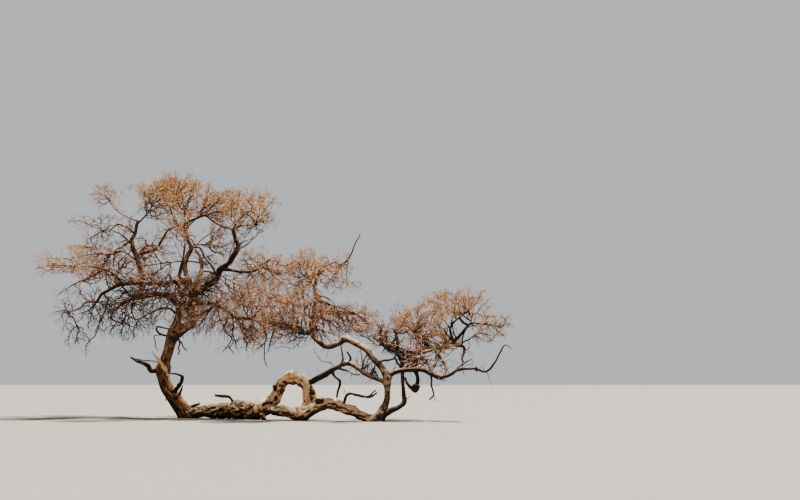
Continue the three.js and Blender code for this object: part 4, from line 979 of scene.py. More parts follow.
# %% Table of masses
MASS_ROW = ("bough", "leave", "tint", "tips", "leaves", "droop", "full", "lean", "via", "heart", "reach")
MASSES = {
    "tuft_left": ("left_upright", 0.985, "golden", 7, 6, 0, 0.4, 1.2, [(-183, 603, 32), (-213, 622, 40)],
        (-240, 656, 50), (62, 52, 62)),
    "top_left": ("left_upright", 0.94, "golden", 11, 10, 0, 1.2, -0.1, [(-118, 619, -6)], (-96, 660, -60),
        (90, 72, 100)),
    "top": ("centre_upright", 1, "golden", 12, 11, 0, 1.5, 0, [(-10, 615, 30)], (-20, 676, 35), (82, 82, 110)),
    "top_right": ("centre_upright", 0.9, "golden", 11, 10, 0, 1.75, -0.6, [(24, 597, 40), (52, 612, 56)],
        (87, 650, 80), (86, 76, 110)),
    "right_shoulder": ("right_upright", 1, "golden", 12, 10, 0, 1.05, -0.7, [(150, 590, -45)], (188, 623, -85),
        (90, 90, 105)),
    "left_upper": ("left_upright", 0.66, "rusty", 11, 9, 0, 0.4, -0.6, [(-193, 545, -6)], (-246, 572, -45),
        (100, 72, 95)),
    "far_left": ("left_bough", 0.66, "golden", 12, 6, 0.1, 0.85, 0, [(-216, 427, -56), (-264, 450, -68)],
        (-372, 454, -95), (115, 64, 95)),
    "near_left": ("left_upright", 0.44, "rusty", 9, 8, 0.1, 1.3, 0, [(-198, 500, 52)], (-256, 485, 115),
        (90, 56, 95)),
    "left_droop": ("left_bough", 1, "dark", 13, 6, 0.3, 0.75, 0.3, [(-295, 325, -80)], (-328, 312, -105),
        (115, 105, 100)),
    "low_droop": ("low_bough", 1, "dark", 12, 5, 0.3, 1.3, 0.2, [(-187, 333, 10)], (-185, 308, 55), (100, 90, 95)),
    "inner_left": ("left_upright", 0.5, "rusty", 10, 6, 0, 0.4, -0.6, [(-129, 513, -30)], (-82, 515, -95),
        (90, 90, 95)),
    "inner_right": ("centre_upright", 0.62, "rusty", 9, 4, 0, 1.2, 0, [(33, 520, 42)], (65, 520, 85), (82, 80, 90)),
    "heart_tangle": ("fork_right", 0.8, "dark", 11, 1, 0.1, 2.2, 0.1, [], (35, 380, -45), (80, 60, 60)),
    "right_droop": ("right_lower", 0.42, "dark", 12, 8, 0.3, 1.9, 1.0, [(93, 308, -48)], (100, 283, -80),
        (105, 95, 90)),
    "front_low": ("front_bough", 0.62, "dark", 11, 8, 0.25, 1.6, 0, [(-52, 400, -140)], (-78, 370, -205),
        (110, 90, 95)),
    "front_high": ("front_bough", 1, "golden", 12, 4, 0, 0.3, 0, [], (-8, 513, -200), (115, 100, 100)),
    "back_high": ("back_bough", 1, "golden", 12, 4, 0, 0.35, 0, [], (20, 545, 215), (120, 100, 100)),
    "back_left": ("back_bough", 0.66, "rusty", 11, 9, 0.15, 0.8, -0.4, [(-20, 470, 140)], (-140, 455, 190),
        (115, 95, 95)),
    "back_right": ("back_bough", 0.45, "rusty", 11, 9, 0.25, 0.7, -0.6, [(80, 435, 115)], (148, 400, 150),
        (105, 95, 95)),
    "mid_left_top": ("right_arm", 1, "golden", 12, 10, 0, 1.3, -1.0, [(220, 464, -45)], (238, 470, -25),
        (100, 90, 105)),
    "mid_left": ("right_lower", 1, "rusty", 12, 9, 0.25, 1.7, -0.1, [], (225, 328, -125), (100, 95, 100)),
    "mid_top": ("mid_upright", 0.72, "golden", 12, 10, 0, 1.1, -0.8, [(364, 420, -150)], (333, 462, -90),
        (95, 90, 110)),
    "mid_right_top": ("mid_upright", 1, "golden", 12, 10, 0, 0.5, -0.4, [(417, 447, -210)], (462, 460, -260),
        (95, 90, 110)),
    "mid_low": ("pale_bough_end", 0.9, "rusty", 12, 9, 0.2, 2.2, -0.4, [(343, 256, -230)], (308, 306, -265),
        (100, 90, 110)),
    "mid_right": ("mid_upright", 0.3, "rusty", 11, 5, 0.1, 2.5, -1.1, [(420, 320, -175)], (478, 308, -130),
        (105, 62, 105)),
    "right_left": ("right_stem", 1, "rusty", 11, 9, 0, 1.1, -1.5,
        [(621, 209, -240), (587, 218, -260), (577, 243, -275)], (588, 286, -290), (95, 72, 105)),
    "right_mid": ("upper_right_bough", 0.46, "golden", 11, 10, 0, 1.3, -1.3, [(697, 240, -180), (680, 258, -150)],
        (696, 302, -120), (90, 76, 105)),
    "right_top": ("upper_right_bough", 0.92, "golden", 12, 11, 0, 1.1, -0.2, [(790, 244, -180), (788, 272, -175)],
        (803, 333, -165), (100, 85, 110)),
    "right_end": ("upper_right_bough", 1, "golden", 10, 10, 0.1, 0.5, 0, [(826, 248, -195), (840, 272, -215)],
        (899, 285, -250), (90, 62, 95)),
}
MASSES = {name: dict(zip(MASS_ROW, row)) for name, row in MASSES.items()}
print("masses:", len(MASSES))

# %% [markdown]
# ## Which places are in which room
# The wall between two rooms is the plane where both ellipsoids have the same power, so it needs
# no list of neighbours. A slow noise swells the edge of each room, or the crown would look like
# a heap of balls. Nothing may pass the box of the solids.

# %% Rooms
BOX_MARGIN = 0.02
SWELL_OUT, LUMPS, LUMP_SIZE = 1.07, 0.16, 0.55
ROOM_SEED = 77
NAMES = list(MASSES)
HEARTS = np.vstack([seen(np.array(mass["heart"]) / 100) for mass in MASSES.values()])
REACHES = np.array([(wide, deep, high) for wide, high, deep in (mass["reach"] for mass in MASSES.values())]) / 100
SIZES = REACHES.mean(axis=1)


def in_room(index, places, margin, across=None):
    """Which places are in a mass's own room, a margin inside its edge and its walls."""
    across = margin if across is None else across
    wall = SWELL_OUT + LUMPS * swell(places / LUMP_SIZE, ROOM_SEED)
    inside = np.linalg.norm((places - HEARTS[index]) / (REACHES[index] - margin), axis=1) <= wall
    power = ((places[:, None] - HEARTS) ** 2).sum(axis=2) - SIZES**2
    apart = np.linalg.norm(HEARTS - HEARTS[index], axis=1)
    others = apart > 0
    walls = (power[:, others] - power[:, [index]]) / (2 * apart[others])
    boxed = np.all((places > np.array(CAD_LOW) + BOX_MARGIN) & (places < np.array(CAD_HIGH) - BOX_MARGIN), axis=1)
    return inside & boxed & np.all(walls > across, axis=1)


print("hearts in their own rooms:", sum(in_room(k, HEARTS[[k]], 0.0).all() for k in range(len(NAMES))))

# %% [markdown]
# ## Stems and small boughs
# A stem leads from a bough to the heart of each room, and by the pipe rule it is as thick as its
# tips ask for. Stems and small boughs have the bark of the limb that carries them.

# %% Stems and small boughs
TWIG_TIP, PIPE_POWER = 0.008, 2.4
STEM_FULLER, STEM_AT_MOST, STEM_END = 1.25, 0.9, 1.6
STEM_SEEDS, BOUGH_SEEDS = 300, 400
BOUGH_TONES = {
    "dark": -0.25, "grey": 0.4, "pale": 0.35, "cave_strand": -0.2, "near_strand": 0.05, "bridge_low": 0.05,
    "bridge_thin": -0.2, "hump_knob": 0.1, "hump_leg": -0.1, "arch_knob": 0.6, "right_loop": 0.8,
    "right_loop_twin": 0.8, "stem_arm": 0.7, "stem_fork": 0.7, "right_crook": 0.6, "bough_drop": 0.8,
    "right_spike": 0.7,
}


def stem_of(mass):
    """The stem of a mass: control points from its bough to its heart, and its radii."""
    bough = LIMBS[mass["bough"]]
    course, share, _ = even_course(bough["points"], 0.1)
    start = np.array([np.interp(mass["leave"], share, course[:, i]) for i in range(3)])
    points = np.vstack([start, seen(np.array(mass["via"] + [mass["heart"]]) / 100)])
    thick = min(TWIG_TIP * mass["tips"] ** (1 / PIPE_POWER) * STEM_FULLER, bough["radii"][-1] * STEM_AT_MOST)
    return dict(points=points, radii=(thick, TWIG_TIP * STEM_END))


def carrier_bark(name):
    """A small bough or stem has the bark of the limb that carries it."""
    while name not in LIMBS:
        name = BRANCHES[name]["carrier"] if name in BRANCHES else MASSES[name]["bough"]
    return LIMBS[name]["bark"]


STEMS = {name: stem_of(mass) for name, mass in MASSES.items()}
for first_seed, group in ((STEM_SEEDS, STEMS), (BOUGH_SEEDS, BRANCHES)):
    for number, (name, bough) in enumerate(group.items()):
        bark = carrier_bark(name)
        home = bark if bark == "pale" else bark + "_crown"
        toned = dict(bough, tone=BOUGH_TONES.get(name, BOUGH_TONES[bark]))
        skins[home].append(limb_skin(toned, bark, first_seed + number, torn=name in SNAPPED))
print({home: sum(len(skin["quads"]) * 2 for skin in part) for home, part in skins.items()})

# %% [markdown]
# ## Fuller sides and windows
# The crown isn't evenly full. Bands say which part of a room may bear tips, as shares of its
# reach across and up. Windows are gaps where sky shows between the boughs, as the viewer sees
# them, from left to right and from low to high. We leave them open by bearing no tips there.

# %% Bands and windows
WHOLE = (-2, 2)
BANDS = {
    "top_left": ((-0.35, 2), (-2, 0.6)), "top": (WHOLE, (-2, 0.7)), "top_right": (WHOLE, (-2, 0.45)),
    "right_shoulder": ((-2, 0.8), (-2, 0.5)), "far_left": (WHOLE, (-0.45, 0.4)),
    "near_left": ((-0.7, 2), (-2, 0.6)), "left_upper": (WHOLE, (-2, 0.3)), "front_high": (WHOLE, (0.3, 1.2)),
    "back_high": (WHOLE, (0.15, 1.2)), "right_top": (WHOLE, (-1.3, 0.45)), "mid_right": (WHOLE, (-2, 0.4)),
    "right_mid": (WHOLE, (-2, 0.5)), "right_end": ((-0.6, 0.6), (-0.9, 0.2)), "mid_left_top": (WHOLE, (-2, 0.15)),
    "mid_top": ((-0.3, 2), (-2, 0.2)), "mid_right_top": ((-2, 0.3), (-2, 0.05)), "inner_right": ((-0.3, 2), WHOLE),
    "left_droop": ((-0.6, 2), WHOLE), "back_right": (WHOLE, (-2, 0.2)),
}
WINDOWS = (
    (7.68, 8.58, 2.37, 3.03), (0.06, 0.66, 4.86, 6.03), (0.66, 1.44, 6.81, 7.2), (-1.8, -1.05, 7.0, 7.74),
    (2.4, 3.36, 4.86, 5.34), (5.4, 6.12, 3.15, 3.54), (-4.3, -3.4, 3.84, 4.3), (7.2, 8.6, 3.8, 4.4),
    (0.2, 1.38, 1.98, 2.46), (4.3, 5.4, 3.4, 3.84),
)


def in_window(places):
    """Which places the viewer would see in a gap where sky shows."""
    ray = places - EYE
    ahead = ray[:, 1] * math.cos(SIGHT_TILT) + ray[:, 2] * math.sin(SIGHT_TILT)
    above = ray[:, 2] * math.cos(SIGHT_TILT) - ray[:, 1] * math.sin(SIGHT_TILT)
    across, up = (SIGHT_CENTRE + np.column_stack([ray[:, 0], above]) * (SIGHT_LENGTH / ahead)[:, None]).T
    return np.any([(across > left) & (across < right) & (up > low) & (up < high)
                   for left, right, low, high in WINDOWS], axis=0)


print("hearts seen in a window:", [name for name, seen_there in zip(NAMES, in_window(HEARTS)) if seen_there])

# %% [markdown]
# ## Tips and older wood
# Acacia twigs end in small flat tufts, so tips aren't dealt one by one: a tuft gets its middle
# first, then its tips. More tufts stand near the edge of the room and on its fuller side, and
# few under the far left edge, where the tree is nearly bare. Twigs start from wood that is
# already there: the stem of the room, and thin boughs that cross it at a small extra cost.

# %% Tips and older wood
TIPS_FOR_ONE = 40
TUFT, TUFT_SIZE = 6, (0.17, 0.17, 0.12)
FARTHEST, OUTWARD = 1.16, 0.42
BARE_EDGE, BARE_BELOW, BARE_SHARE = -3.4, 3.95, 0.12
STEM_STEP, BOUGH_STEP, BEARING_GIRTH = 0.11, 0.13, 0.085
GIRTH_COST, USUAL_GIRTH = 0.5, 0.05


def dealt_tips(index, mass, deal):
    """Tips in small tufts through the whole room, and more of them on its fuller side."""
    tufts = int(mass["tips"] * mass["full"] * TIPS_FOR_ONE / TUFT)
    way = unit(deal.normal(size=(6 * tufts, 3)))
    share = FARTHEST * deal.uniform(0.02, 1, len(way)) ** OUTWARD
    middles = HEARTS[index] + way * share[:, None] * REACHES[index]
    side = (middles - HEARTS[index]) / REACHES[index]
    kept = in_room(index, middles, 0.03)
    kept &= deal.uniform(-1, 1, len(way)) < side[:, 2] * mass["lean"] + 1 - abs(mass["lean"])
    for axis, (low, high) in zip((0, 2), BANDS.get(NAMES[index], ())):
        kept &= (side[:, axis] > low) & (side[:, axis] < high)
    bare = (middles[:, 0] < BARE_EDGE) & (middles[:, 2] < BARE_BELOW)
    middles = middles[kept & (~bare | (deal.uniform(0, 1, len(way)) < BARE_SHARE))][:tufts]
    tips = np.repeat(middles, TUFT, axis=0)
    tips = tips + deal.normal(size=tips.shape) * TUFT_SIZE
    return tips[in_room(index, tips, 0.02) & ~in_window(tips)]


def older_wood(index):
    """Joints of the stem and boughs in a room: places, the joint before each, and its way from the stem."""
    places, before, way = [], [], []

    def lay(course, start_way):
        for k, place in enumerate(course):
            before.append(-1 if k == 0 else len(places) - 1)
            way.append(start_way if k == 0 else way[-1] + np.linalg.norm(place - places[-1]))
            places.append(place)

    lay(even_course(STEMS[NAMES[index]]["points"], STEM_STEP)[0], 0.0)
    bearers = list(BRANCHES.values()) + [limb for limb in LIMBS.values() if min(limb["radii"]) < BEARING_GIRTH]
    for limb in bearers:
        course, share, _ = even_course(limb["points"], BOUGH_STEP)
        thin = spread(limb["radii"], share) < BEARING_GIRTH
        kept = course[thin & in_room(index, course, 0.05)]
        if len(kept) > 2:
            lay(kept[1:], GIRTH_COST * max(limb["radii"]) / USUAL_GIRTH)
    return places, before, way


first_tips = dealt_tips(0, MASSES[NAMES[0]], seeded(SEED))
print("tips and older joints of the first room:", len(first_tips), len(older_wood(0)[0]))

# %% [markdown]
# ## The growing rule
# A crown could be scattered with ready-made twigs, but they would float and all look alike. The
# solids grow theirs by one rule, and we carry it on to finer twigs: of the tips not yet reached,
# the one that costs least is joined next. The cost is the way to an older twig and a part of the
# way from there back to the stem. A tip that can't be reached clear of the limbs is drawn in
# towards the heart, twice at most, and then given up.

# %% Grow one room
STEP, ZIGZAG = 0.11, 0.03
WAY_BACK = 0.5
TRIES, DRAWN_IN = 2, 0.3
CLEAR_START, CLEAR_GAP = 0.14, 0.006


def in_reach(index, stretch):
    a, b, ra, rb = stretch
    middle, half = (a + b) / 2, np.linalg.norm(b - a) / 2 + max(ra, rb)
    return np.all(np.abs(middle - HEARTS[index]) < REACHES[index] + half)


def chain_to(start, ahead, tip, droop, deal):
    """A twig leaves a little in the older one's direction and zigzags to its tip."""
    length = np.linalg.norm(tip - start)
    steps = max(2, int(round(length / STEP)))
    bend = start + 0.45 * (tip - start) + ahead * 0.16 * length
    bend[2] += droop * length
    share = np.linspace(0, 1, steps + 1)[1:, None]
    chain = start * (1 - share) ** 2 + bend * 2 * share * (1 - share) + tip * share**2
    aside = unit(np.cross(tip - start, deal.normal(size=3)))
    turn = np.resize([1.0, -1.0], steps - 1)[:, None] * deal.uniform(0.3, 1, (steps - 1, 1))
    chain[:-1] += min(0.16 * length, ZIGZAG) * turn * aside + deal.normal(size=(steps - 1, 3)) * 0.008
    return chain


def grow(index, deal):
    """The joints of all twigs in a room: place, the joint before, and the tips each one feeds."""
    mass = MASSES[NAMES[index]]
    limbs_near = [stretch for stretch in EVERY_STRETCH if in_reach(index, stretch)]
    places, before, way = older_wood(index)
    bare = len(places)
    tips = dealt_tips(index, mass, deal)
    usable = in_room(index, np.array(places), 0.0)
    cost_from = np.linalg.norm(tips[:, None] - np.array(places), axis=2) + WAY_BACK * np.array(way)
    cost_from[:, ~usable] = np.inf
    joined, cost = cost_from.argmin(axis=1), cost_from.min(axis=1)
    tries = np.zeros(len(tips), int)
    feeds = [0] * bare
    while np.isfinite(cost).any():
        best = int(cost.argmin())
        at, tip = int(joined[best]), tips[best]
        start = places[at]
        ahead = unit(start - places[before[at]]) if before[at] >= 0 else unit(tip - start)
        chain = chain_to(start, ahead, tip, mass["droop"], deal)
        free = chain[np.linalg.norm(chain - start, axis=1) > CLEAR_START]
        cost[best] = np.inf
        if not in_room(index, chain, 0.01).all() or (gap_to(limbs_near, free) <= CLEAR_GAP).any():
            tries[best] += 1
            if tries[best] <= TRIES:
                tips[best] = tip + DRAWN_IN * (HEARTS[index] - tip)
                reach_cost = np.linalg.norm(np.array(places) - tips[best], axis=1) + WAY_BACK * np.array(way)
                reach_cost[:bare][~usable] = np.inf
                joined[best], cost[best] = reach_cost.argmin(), reach_cost.min()
            continue
        for place in chain:
            before.append(at)
            way.append(way[at] + np.linalg.norm(place - places[at]))
            places.append(place)
            feeds.append(0)
            at = len(places) - 1
        while at >= 0:
            feeds[at] += 1
            at = before[at]
        fresh = np.arange(len(places) - len(chain), len(places))
        new_cost = np.linalg.norm(tips[:, None] - np.array(chain), axis=2) + WAY_BACK * np.array(way)[fresh]
        better = np.isfinite(cost) & (new_cost.min(axis=1) < cost)
        joined[better] = fresh[new_cost.argmin(axis=1)[better]]
        cost[better] = new_cost.min(axis=1)[better]
    return np.array(places), np.array(before), np.array(feeds), bare


print("a twig in", len(chain_to(np.zeros(3), np.eye(3)[0], np.ones(3), 0, seeded(SEED))), "steps")

# %% [markdown]
# ## From joints to twigs
# The joints are strung to long runs: at each fork, the child that feeds most tips carries the
# run on, and the others start their own. A twig is as thick as the tips it feeds ask for.

# %% Grow the twigs of all rooms
FINE_TIP, FINE_POWER, THICKEST_TWIG = 0.0052, 2.6, 0.026


def runs_of(places, before, feeds, bare):
    """Unbroken runs of joints, with the girth and the number of tips fed at each."""
    heir = {}
    for k in range(bare, len(places)):
        if before[k] not in heir or feeds[heir[before[k]]] < feeds[k]:
            heir[before[k]] = k
    runs = []
    for k in range(bare, len(places)):
        if before[k] >= bare and heir[before[k]] == k:
            continue
        run = [before[k], k]
        while run[-1] in heir:
            run.append(heir[run[-1]])
        girths = np.minimum(FINE_TIP * np.maximum(feeds[run], 1) ** (1 / FINE_POWER), THICKEST_TWIG)
        girths[0] = min(girths[1] * 1.1, girths[0])
        runs.append((places[run], girths, feeds[run]))
    return runs


GROWN = {name: runs_of(*grow(index, seeded(SEED + 1000 * index))) for index, name in enumerate(NAMES)}
print("twigs:", {name: len(runs) for name, runs in GROWN.items()})

# %% [markdown]
# ## Wisps at the edge
# So far every mass ends in a smooth round edge, and two masses keep a seam between them. On the
# tree this year's shoots run on past the older ones: long, thin and arched, a few at a time. A
# share of the outer twigs gets one. It may cross into the next room, which closes the seam.

# %% Wisps on the outer twigs
WISP_SHARE, OUTER = 0.3, 0.55
WISP_LENGTHS, WISP_GIRTH, WISP_JOINTS = (0.2, 0.62), 0.0046, 5
WISP_OUT, WISP_ACROSS = 0.1, 0.3
COMB = {
    "far_left": (-1.1, 0, -0.05), "near_left": (-1.1, 0, 0), "left_droop": (-0.5, 0, -0.6),
    "low_droop": (-0.3, 0, -0.7), "right_droop": (0.1, 0, -0.8), "mid_left": (0.1, 0, -0.3),
    "mid_low": (0, 0, -0.3), "right_end": (1, 0, 0),
}


def combed(index):
    """The way in which all young shoots of a mass are combed."""
    return np.array(COMB.get(NAMES[index], (0, 0, 0)))


def wisps(index, runs, deal):
    """Long thin shoots that carry some outer twigs on and arch over."""
    mass = MASSES[NAMES[index]]
    comb = combed(index)
    made = []
    for points, *_ in runs:
        out = (points[-1] - HEARTS[index]) / REACHES[index]
        if np.linalg.norm(out) < OUTER or deal.uniform() > WISP_SHARE:
            continue
        way = 0.8 * unit(points[-1] - points[-2]) + 0.9 * unit(out / REACHES[index])
        way = unit(way + comb + deal.normal(size=3) * 0.35)
        long = deal.uniform(*WISP_LENGTHS) * (1 + 0.4 * np.linalg.norm(comb))
        share = np.linspace(0, 1, WISP_JOINTS)[:, None]
        course = points[-1] + way * long * share + np.array([0, 0, -0.3 - 0.5 * mass["droop"]]) * long * share**2
        course[1:] += deal.normal(size=(WISP_JOINTS - 1, 3)) * 0.014
        if in_room(index, course, -WISP_OUT, -WISP_ACROSS).all():
            made.append((course, np.linspace(WISP_GIRTH, 0.4 * WISP_GIRTH, WISP_JOINTS), np.ones(WISP_JOINTS, int)))
    return made


for index, name in enumerate(NAMES):
    GROWN[name] += wisps(index, GROWN[name], seeded(SEED + 1000 * index + 500))
print("with wisps:", sum(len(runs) for runs in GROWN.values()))

# %% [markdown]
# ## Dead spurs and tangles
# An old acacia keeps what it sheds. Short dead spurs stand on every bough, and where two boughs
# run close together, dead sticks hang crossed between them. A spur starts in the middle of its
# limb, zigzags outwards and forks once or twice. A crossed stick sets out from one bough towards
# a place on the other, and may stop on the way. Dealing them out evenly would hide the boughs
# that stay clean, so their number is written down by limb. A row of crossed sticks holds the two
# boughs, each with the part of it that may bear them, their number and how dark they are.

# %% Tables of spurs and crossed sticks
SPURS_PER_METRE = {
    "upper_right_bough": 11, "right_bough": 9, "bough_ring": 5, "bough_drop": 8, "right_bough_end": 3,
    "bridge_left": 4, "bridge_right": 6, "pale_bough": 2, "right_stem": 3, "stem_snag": 8, "stem_thin": 7,
    "bridge_low": 6, "bridge_side": 8, "fork_right": 10, "fork_left": 6, "low_bough": 11, "left_bough": 8,
    "left_upright": 5, "centre_upright": 5, "right_upright": 14, "right_lower": 14, "hang_inner": 8,
    "hang_left": 9, "low_sweep": 9, "reach_left": 7, "mid_link": 9, "mid_upright": 6, "pale_bough_end": 8,
    "front_bough": 7, "back_bough": 7, "right_arm": 7, "dead_thin": 3, "stem_arm": 7, "right_loop": 6,
    "stem_fork": 6, "bough_hang": 4, "right_crook": 6, "sweep_left": 12, "low_tie": 10, "far_tip": 5,
    "near_run": 8, "dark_crook": 7, "upper_hook": 6, "droop_one": 9, "droop_two": 9, "droop_three": 26,
    "droop_four": 26, "droop_five": 20, "droop_six": 20, "droop_long": 3, "left_crook": 7, "near_strand": 5,
    "near_curl": 8, "near_left_arm": 9, "ring_twin": 9, "inner_strand": 12, "weft_high": 9, "weft_low": 9,
    "bough_tip": 4, "right_run": 14, "right_low_run": 14, "right_top_run": 9,
}
TANGLES = [
    ("upper_right_bough", (0, 0.4), "right_bough", (0.2, 0.8), 8, 0.3),
    ("right_bough", (0.1, 0.6), "upper_right_bough", (0.45, 1), 5, 0.6),
    ("upper_right_bough", (0.5, 0.98), "upper_right_bough", (0.5, 0.98), 38, -0.1),
    ("bough_ring", (0.1, 1), "ring_twin", (0.3, 1), 5, 0.6),
    ("weft_high", (0, 1), "cave_strand", (0, 1), 9, 0.2),
    ("weft_low", (0, 1), "upper_right_bough", (0.1, 0.5), 7, 0.3),
    ("upper_right_bough", (0, 1), "right_mid", (0.2, 0.9), 24, 0.3),
    ("upper_right_bough", (0, 0.5), "right_left", (0.2, 0.8), 10, 0.6),
    ("upper_right_bough", (0.6, 1), "right_top", (0.1, 0.7), 6, 0.6),
    ("mid_upright", (0, 0.4), "pale_bough_end", (0, 1), 22, 0.5),
    ("mid_link", (0.2, 1), "mid_low", (0.2, 0.8), 10, 0.65),
    ("bridge_right", (0.25, 0.8), "pale_bough", (0.3, 0.75), 14, 0.7),
    ("bridge_right", (0.1, 0.6), "bridge_side", (0, 1), 8, 0.7),
    ("fork_right", (0.35, 1), "fork_left", (0.3, 1), 20, -0.1),
    ("centre_upright", (0, 0.2), "fork_right", (0.3, 1), 16, -0.35),
    ("right_upright", (0, 0.2), "right_lower", (0, 0.5), 20, -0.25),
    ("low_bough", (0.1, 1), "left_bough", (0.2, 0.9), 10, 0.85),
    ("low_tie", (0, 1), "hang_left", (0, 0.5), 8, 0.7),
    ("left_bough", (0.35, 0.85), "near_left_arm", (0.1, 1), 22, 0.45),
    ("sweep_left", (0, 0.6), "near_left_arm", (0.2, 1), 24, 0.35),
    ("droop_three", (0.1, 1), "droop_four", (0.2, 1), 30, 0.15),
    ("droop_four", (0.2, 1), "droop_five", (0.2, 0.9), 14, 0.2),
    ("right_lower", (0, 0.4), "fork_right", (0.1, 0.6), 24, -0.35),
    ("fork_right", (0.1, 0.6), "fork_left", (0.3, 0.9), 20, -0.3),
    ("upper_right_bough", (0.3, 0.8), "right_crook", (0.2, 1), 16, 0.35),
    ("stem_arm", (0.2, 1), "right_left", (0, 0.6), 18, 0.45),
    ("right_spike", (0, 1), "right_crook", (0.3, 1), 14, 0.2),
    ("mid_upright", (0.3, 0.8), "mid_right", (0.1, 0.8), 16, 0.35),
    ("right_upright", (0.3, 0.8), "right_top_run", (0, 1), 8, 0.6),
]
print("limbs with spurs:", len(SPURS_PER_METRE), "and pairs with crossed sticks:", len(TANGLES))

# %% [markdown]
# ## How a spur and a stick run
# Dead wood is more crooked than living twigs, so a run turns a little at every step, and a
# crossed stick is also drawn towards the place that it makes for. Each forks into thinner ones.

# %% Runs of spurs and crossed sticks
SPUR_STEP = 0.075
SPUR_LENGTHS, SPUR_GIRTHS, SPUR_END = (0.1, 0.5), (0.009, 0.017), 0.004
STICK_GIRTHS, STICK_END = (0.012, 0.025), 0.008
SIDE_STICK_GIRTH, SIDE_STICK_END = 0.009, 0.003


def zigzag(start, way, long, deal, pull=None):
    """A crooked run of points from a start, turning a little at every step."""
    points = [start]
    for _ in range(max(2, int(long / SPUR_STEP))):
        if pull is not None:
            way = way + 0.7 * unit(pull - points[-1])
        way = unit(way + deal.normal(size=3) * 0.34)
        points.append(points[-1] + way * SPUR_STEP)
    return np.array(points)


def tapered(points, thick, thin):
    return points, np.linspace(thick, thin, len(points)), np.ones(len(points), int)


def root_on(points, deal):
    return points[int(deal.integers(1, len(points)))]


def spurs_of(limb, per_metre, deal):
    """Runs of points and girths for the spurs of one limb."""
    course, share, length = even_course(limb["points"], 0.03)
    ahead = unit(np.gradient(course, axis=0))
    runs = []
    for _ in range(int(per_metre * length)):
        at = int(deal.integers(2, len(course)))
        way = unit(np.cross(ahead[at], deal.normal(size=3)) + 0.35 * ahead[at])
        girth = spread(limb["radii"], share[at])
        thick = min(deal.uniform(*SPUR_GIRTHS), 0.5 * girth)
        points = zigzag(course[at], way, girth + deal.uniform(*SPUR_LENGTHS), deal)
        runs.append(tapered(points, thick, SPUR_END))
        for _ in range(int(deal.integers(0, 3))):
            root = root_on(points, deal)
            side = zigzag(root, unit(way + deal.normal(size=3) * 0.8), 0.2, deal)
            runs.append(tapered(side, 0.5 * thick, SIDE_STICK_END))
    return runs


def crossed(first, span, second, other_span, count, deal):
    """Sticks that set out from one limb towards another."""
    runs = []
    for _ in range(count):
        ends = []
        for limb, (low, high) in ((first, span), (second, other_span)):
            course = even_course(limb["points"], 0.03)[0]
            ends.append(course[int(deal.uniform(low, high) * (len(course) - 1))])
        long = np.linalg.norm(ends[1] - ends[0]) * deal.uniform(0.55, 1.1) + 0.15
        way = unit(ends[1] - ends[0] + deal.normal(size=3) * 0.3)
        points = zigzag(ends[0], way, long, deal, pull=ends[1])
        runs.append(tapered(points, deal.uniform(*STICK_GIRTHS), STICK_END))
        for _ in range(int(deal.integers(1, 4))):
            root = root_on(points, deal)
            side = zigzag(root, unit(deal.normal(size=3)), deal.uniform(0.12, 0.35), deal)
            runs.append(tapered(side, SIDE_STICK_GIRTH, SIDE_STICK_END))
    return runs


print("joints of one stick:", len(zigzag(np.zeros(3), np.eye(3)[0], 0.5, seeded(SEED))))

# %% [markdown]
# ## Spurs and sticks of all limbs
# Every row gets its own seed, so a change to one limb leaves the others as they are. How dark a
# run is goes with it, because some boughs carry bleached spurs. What would touch the ground or
# leave the box of the solids is left out.

# %% Grow spurs and tangles
SPUR_SEEDS, STICK_SEEDS = 600, 700
LOWEST_SPUR = 0.5
SPUR_DARKNESS = 0.64
PALER_SPURS = {
    "upper_right_bough": 0.35, "droop_three": 0.2, "droop_four": 0.2, "droop_five": 0.3, "near_strand": 0.4,
    "near_left_arm": 0.35, "near_curl": 0.45, "sweep_left": 0.4, "right_run": 0.35, "right_low_run": 0.35,
}


def either(name):
    return LIMBS.get(name) or BRANCHES.get(name) or STEMS[name]


SPURS = []
for number, (name, per_metre) in enumerate(SPURS_PER_METRE.items()):
    made = spurs_of(either(name), per_metre, seeded(SPUR_SEEDS + number))
    SPURS += [(run, PALER_SPURS.get(name, SPUR_DARKNESS)) for run in made]
for number, (name, span, other, other_span, count, darkness) in enumerate(TANGLES):
    deal = seeded(STICK_SEEDS + number)
    made = crossed(either(name), span, either(other), other_span, count, deal)
    SPURS += [(run, darkness) for run in made]
SPURS = [(run, darkness) for run, darkness in SPURS
         if run[0][1:, 2].min() > LOWEST_SPUR and np.all((run[0] > CAD_LOW) & (run[0] < CAD_HIGH))]
print("spurs and crossed sticks:", len(SPURS))

# %% [markdown]
# ## Twigs as thin tubes
# There are thousands of twigs, and a curve object for each would choke Blender, so all are made
# at once with numpy. Three sides are enough to give a twig a lit and a dark side, and thicker
# ones get four. Each run has a ring of corners around every point but the last, where it closes.

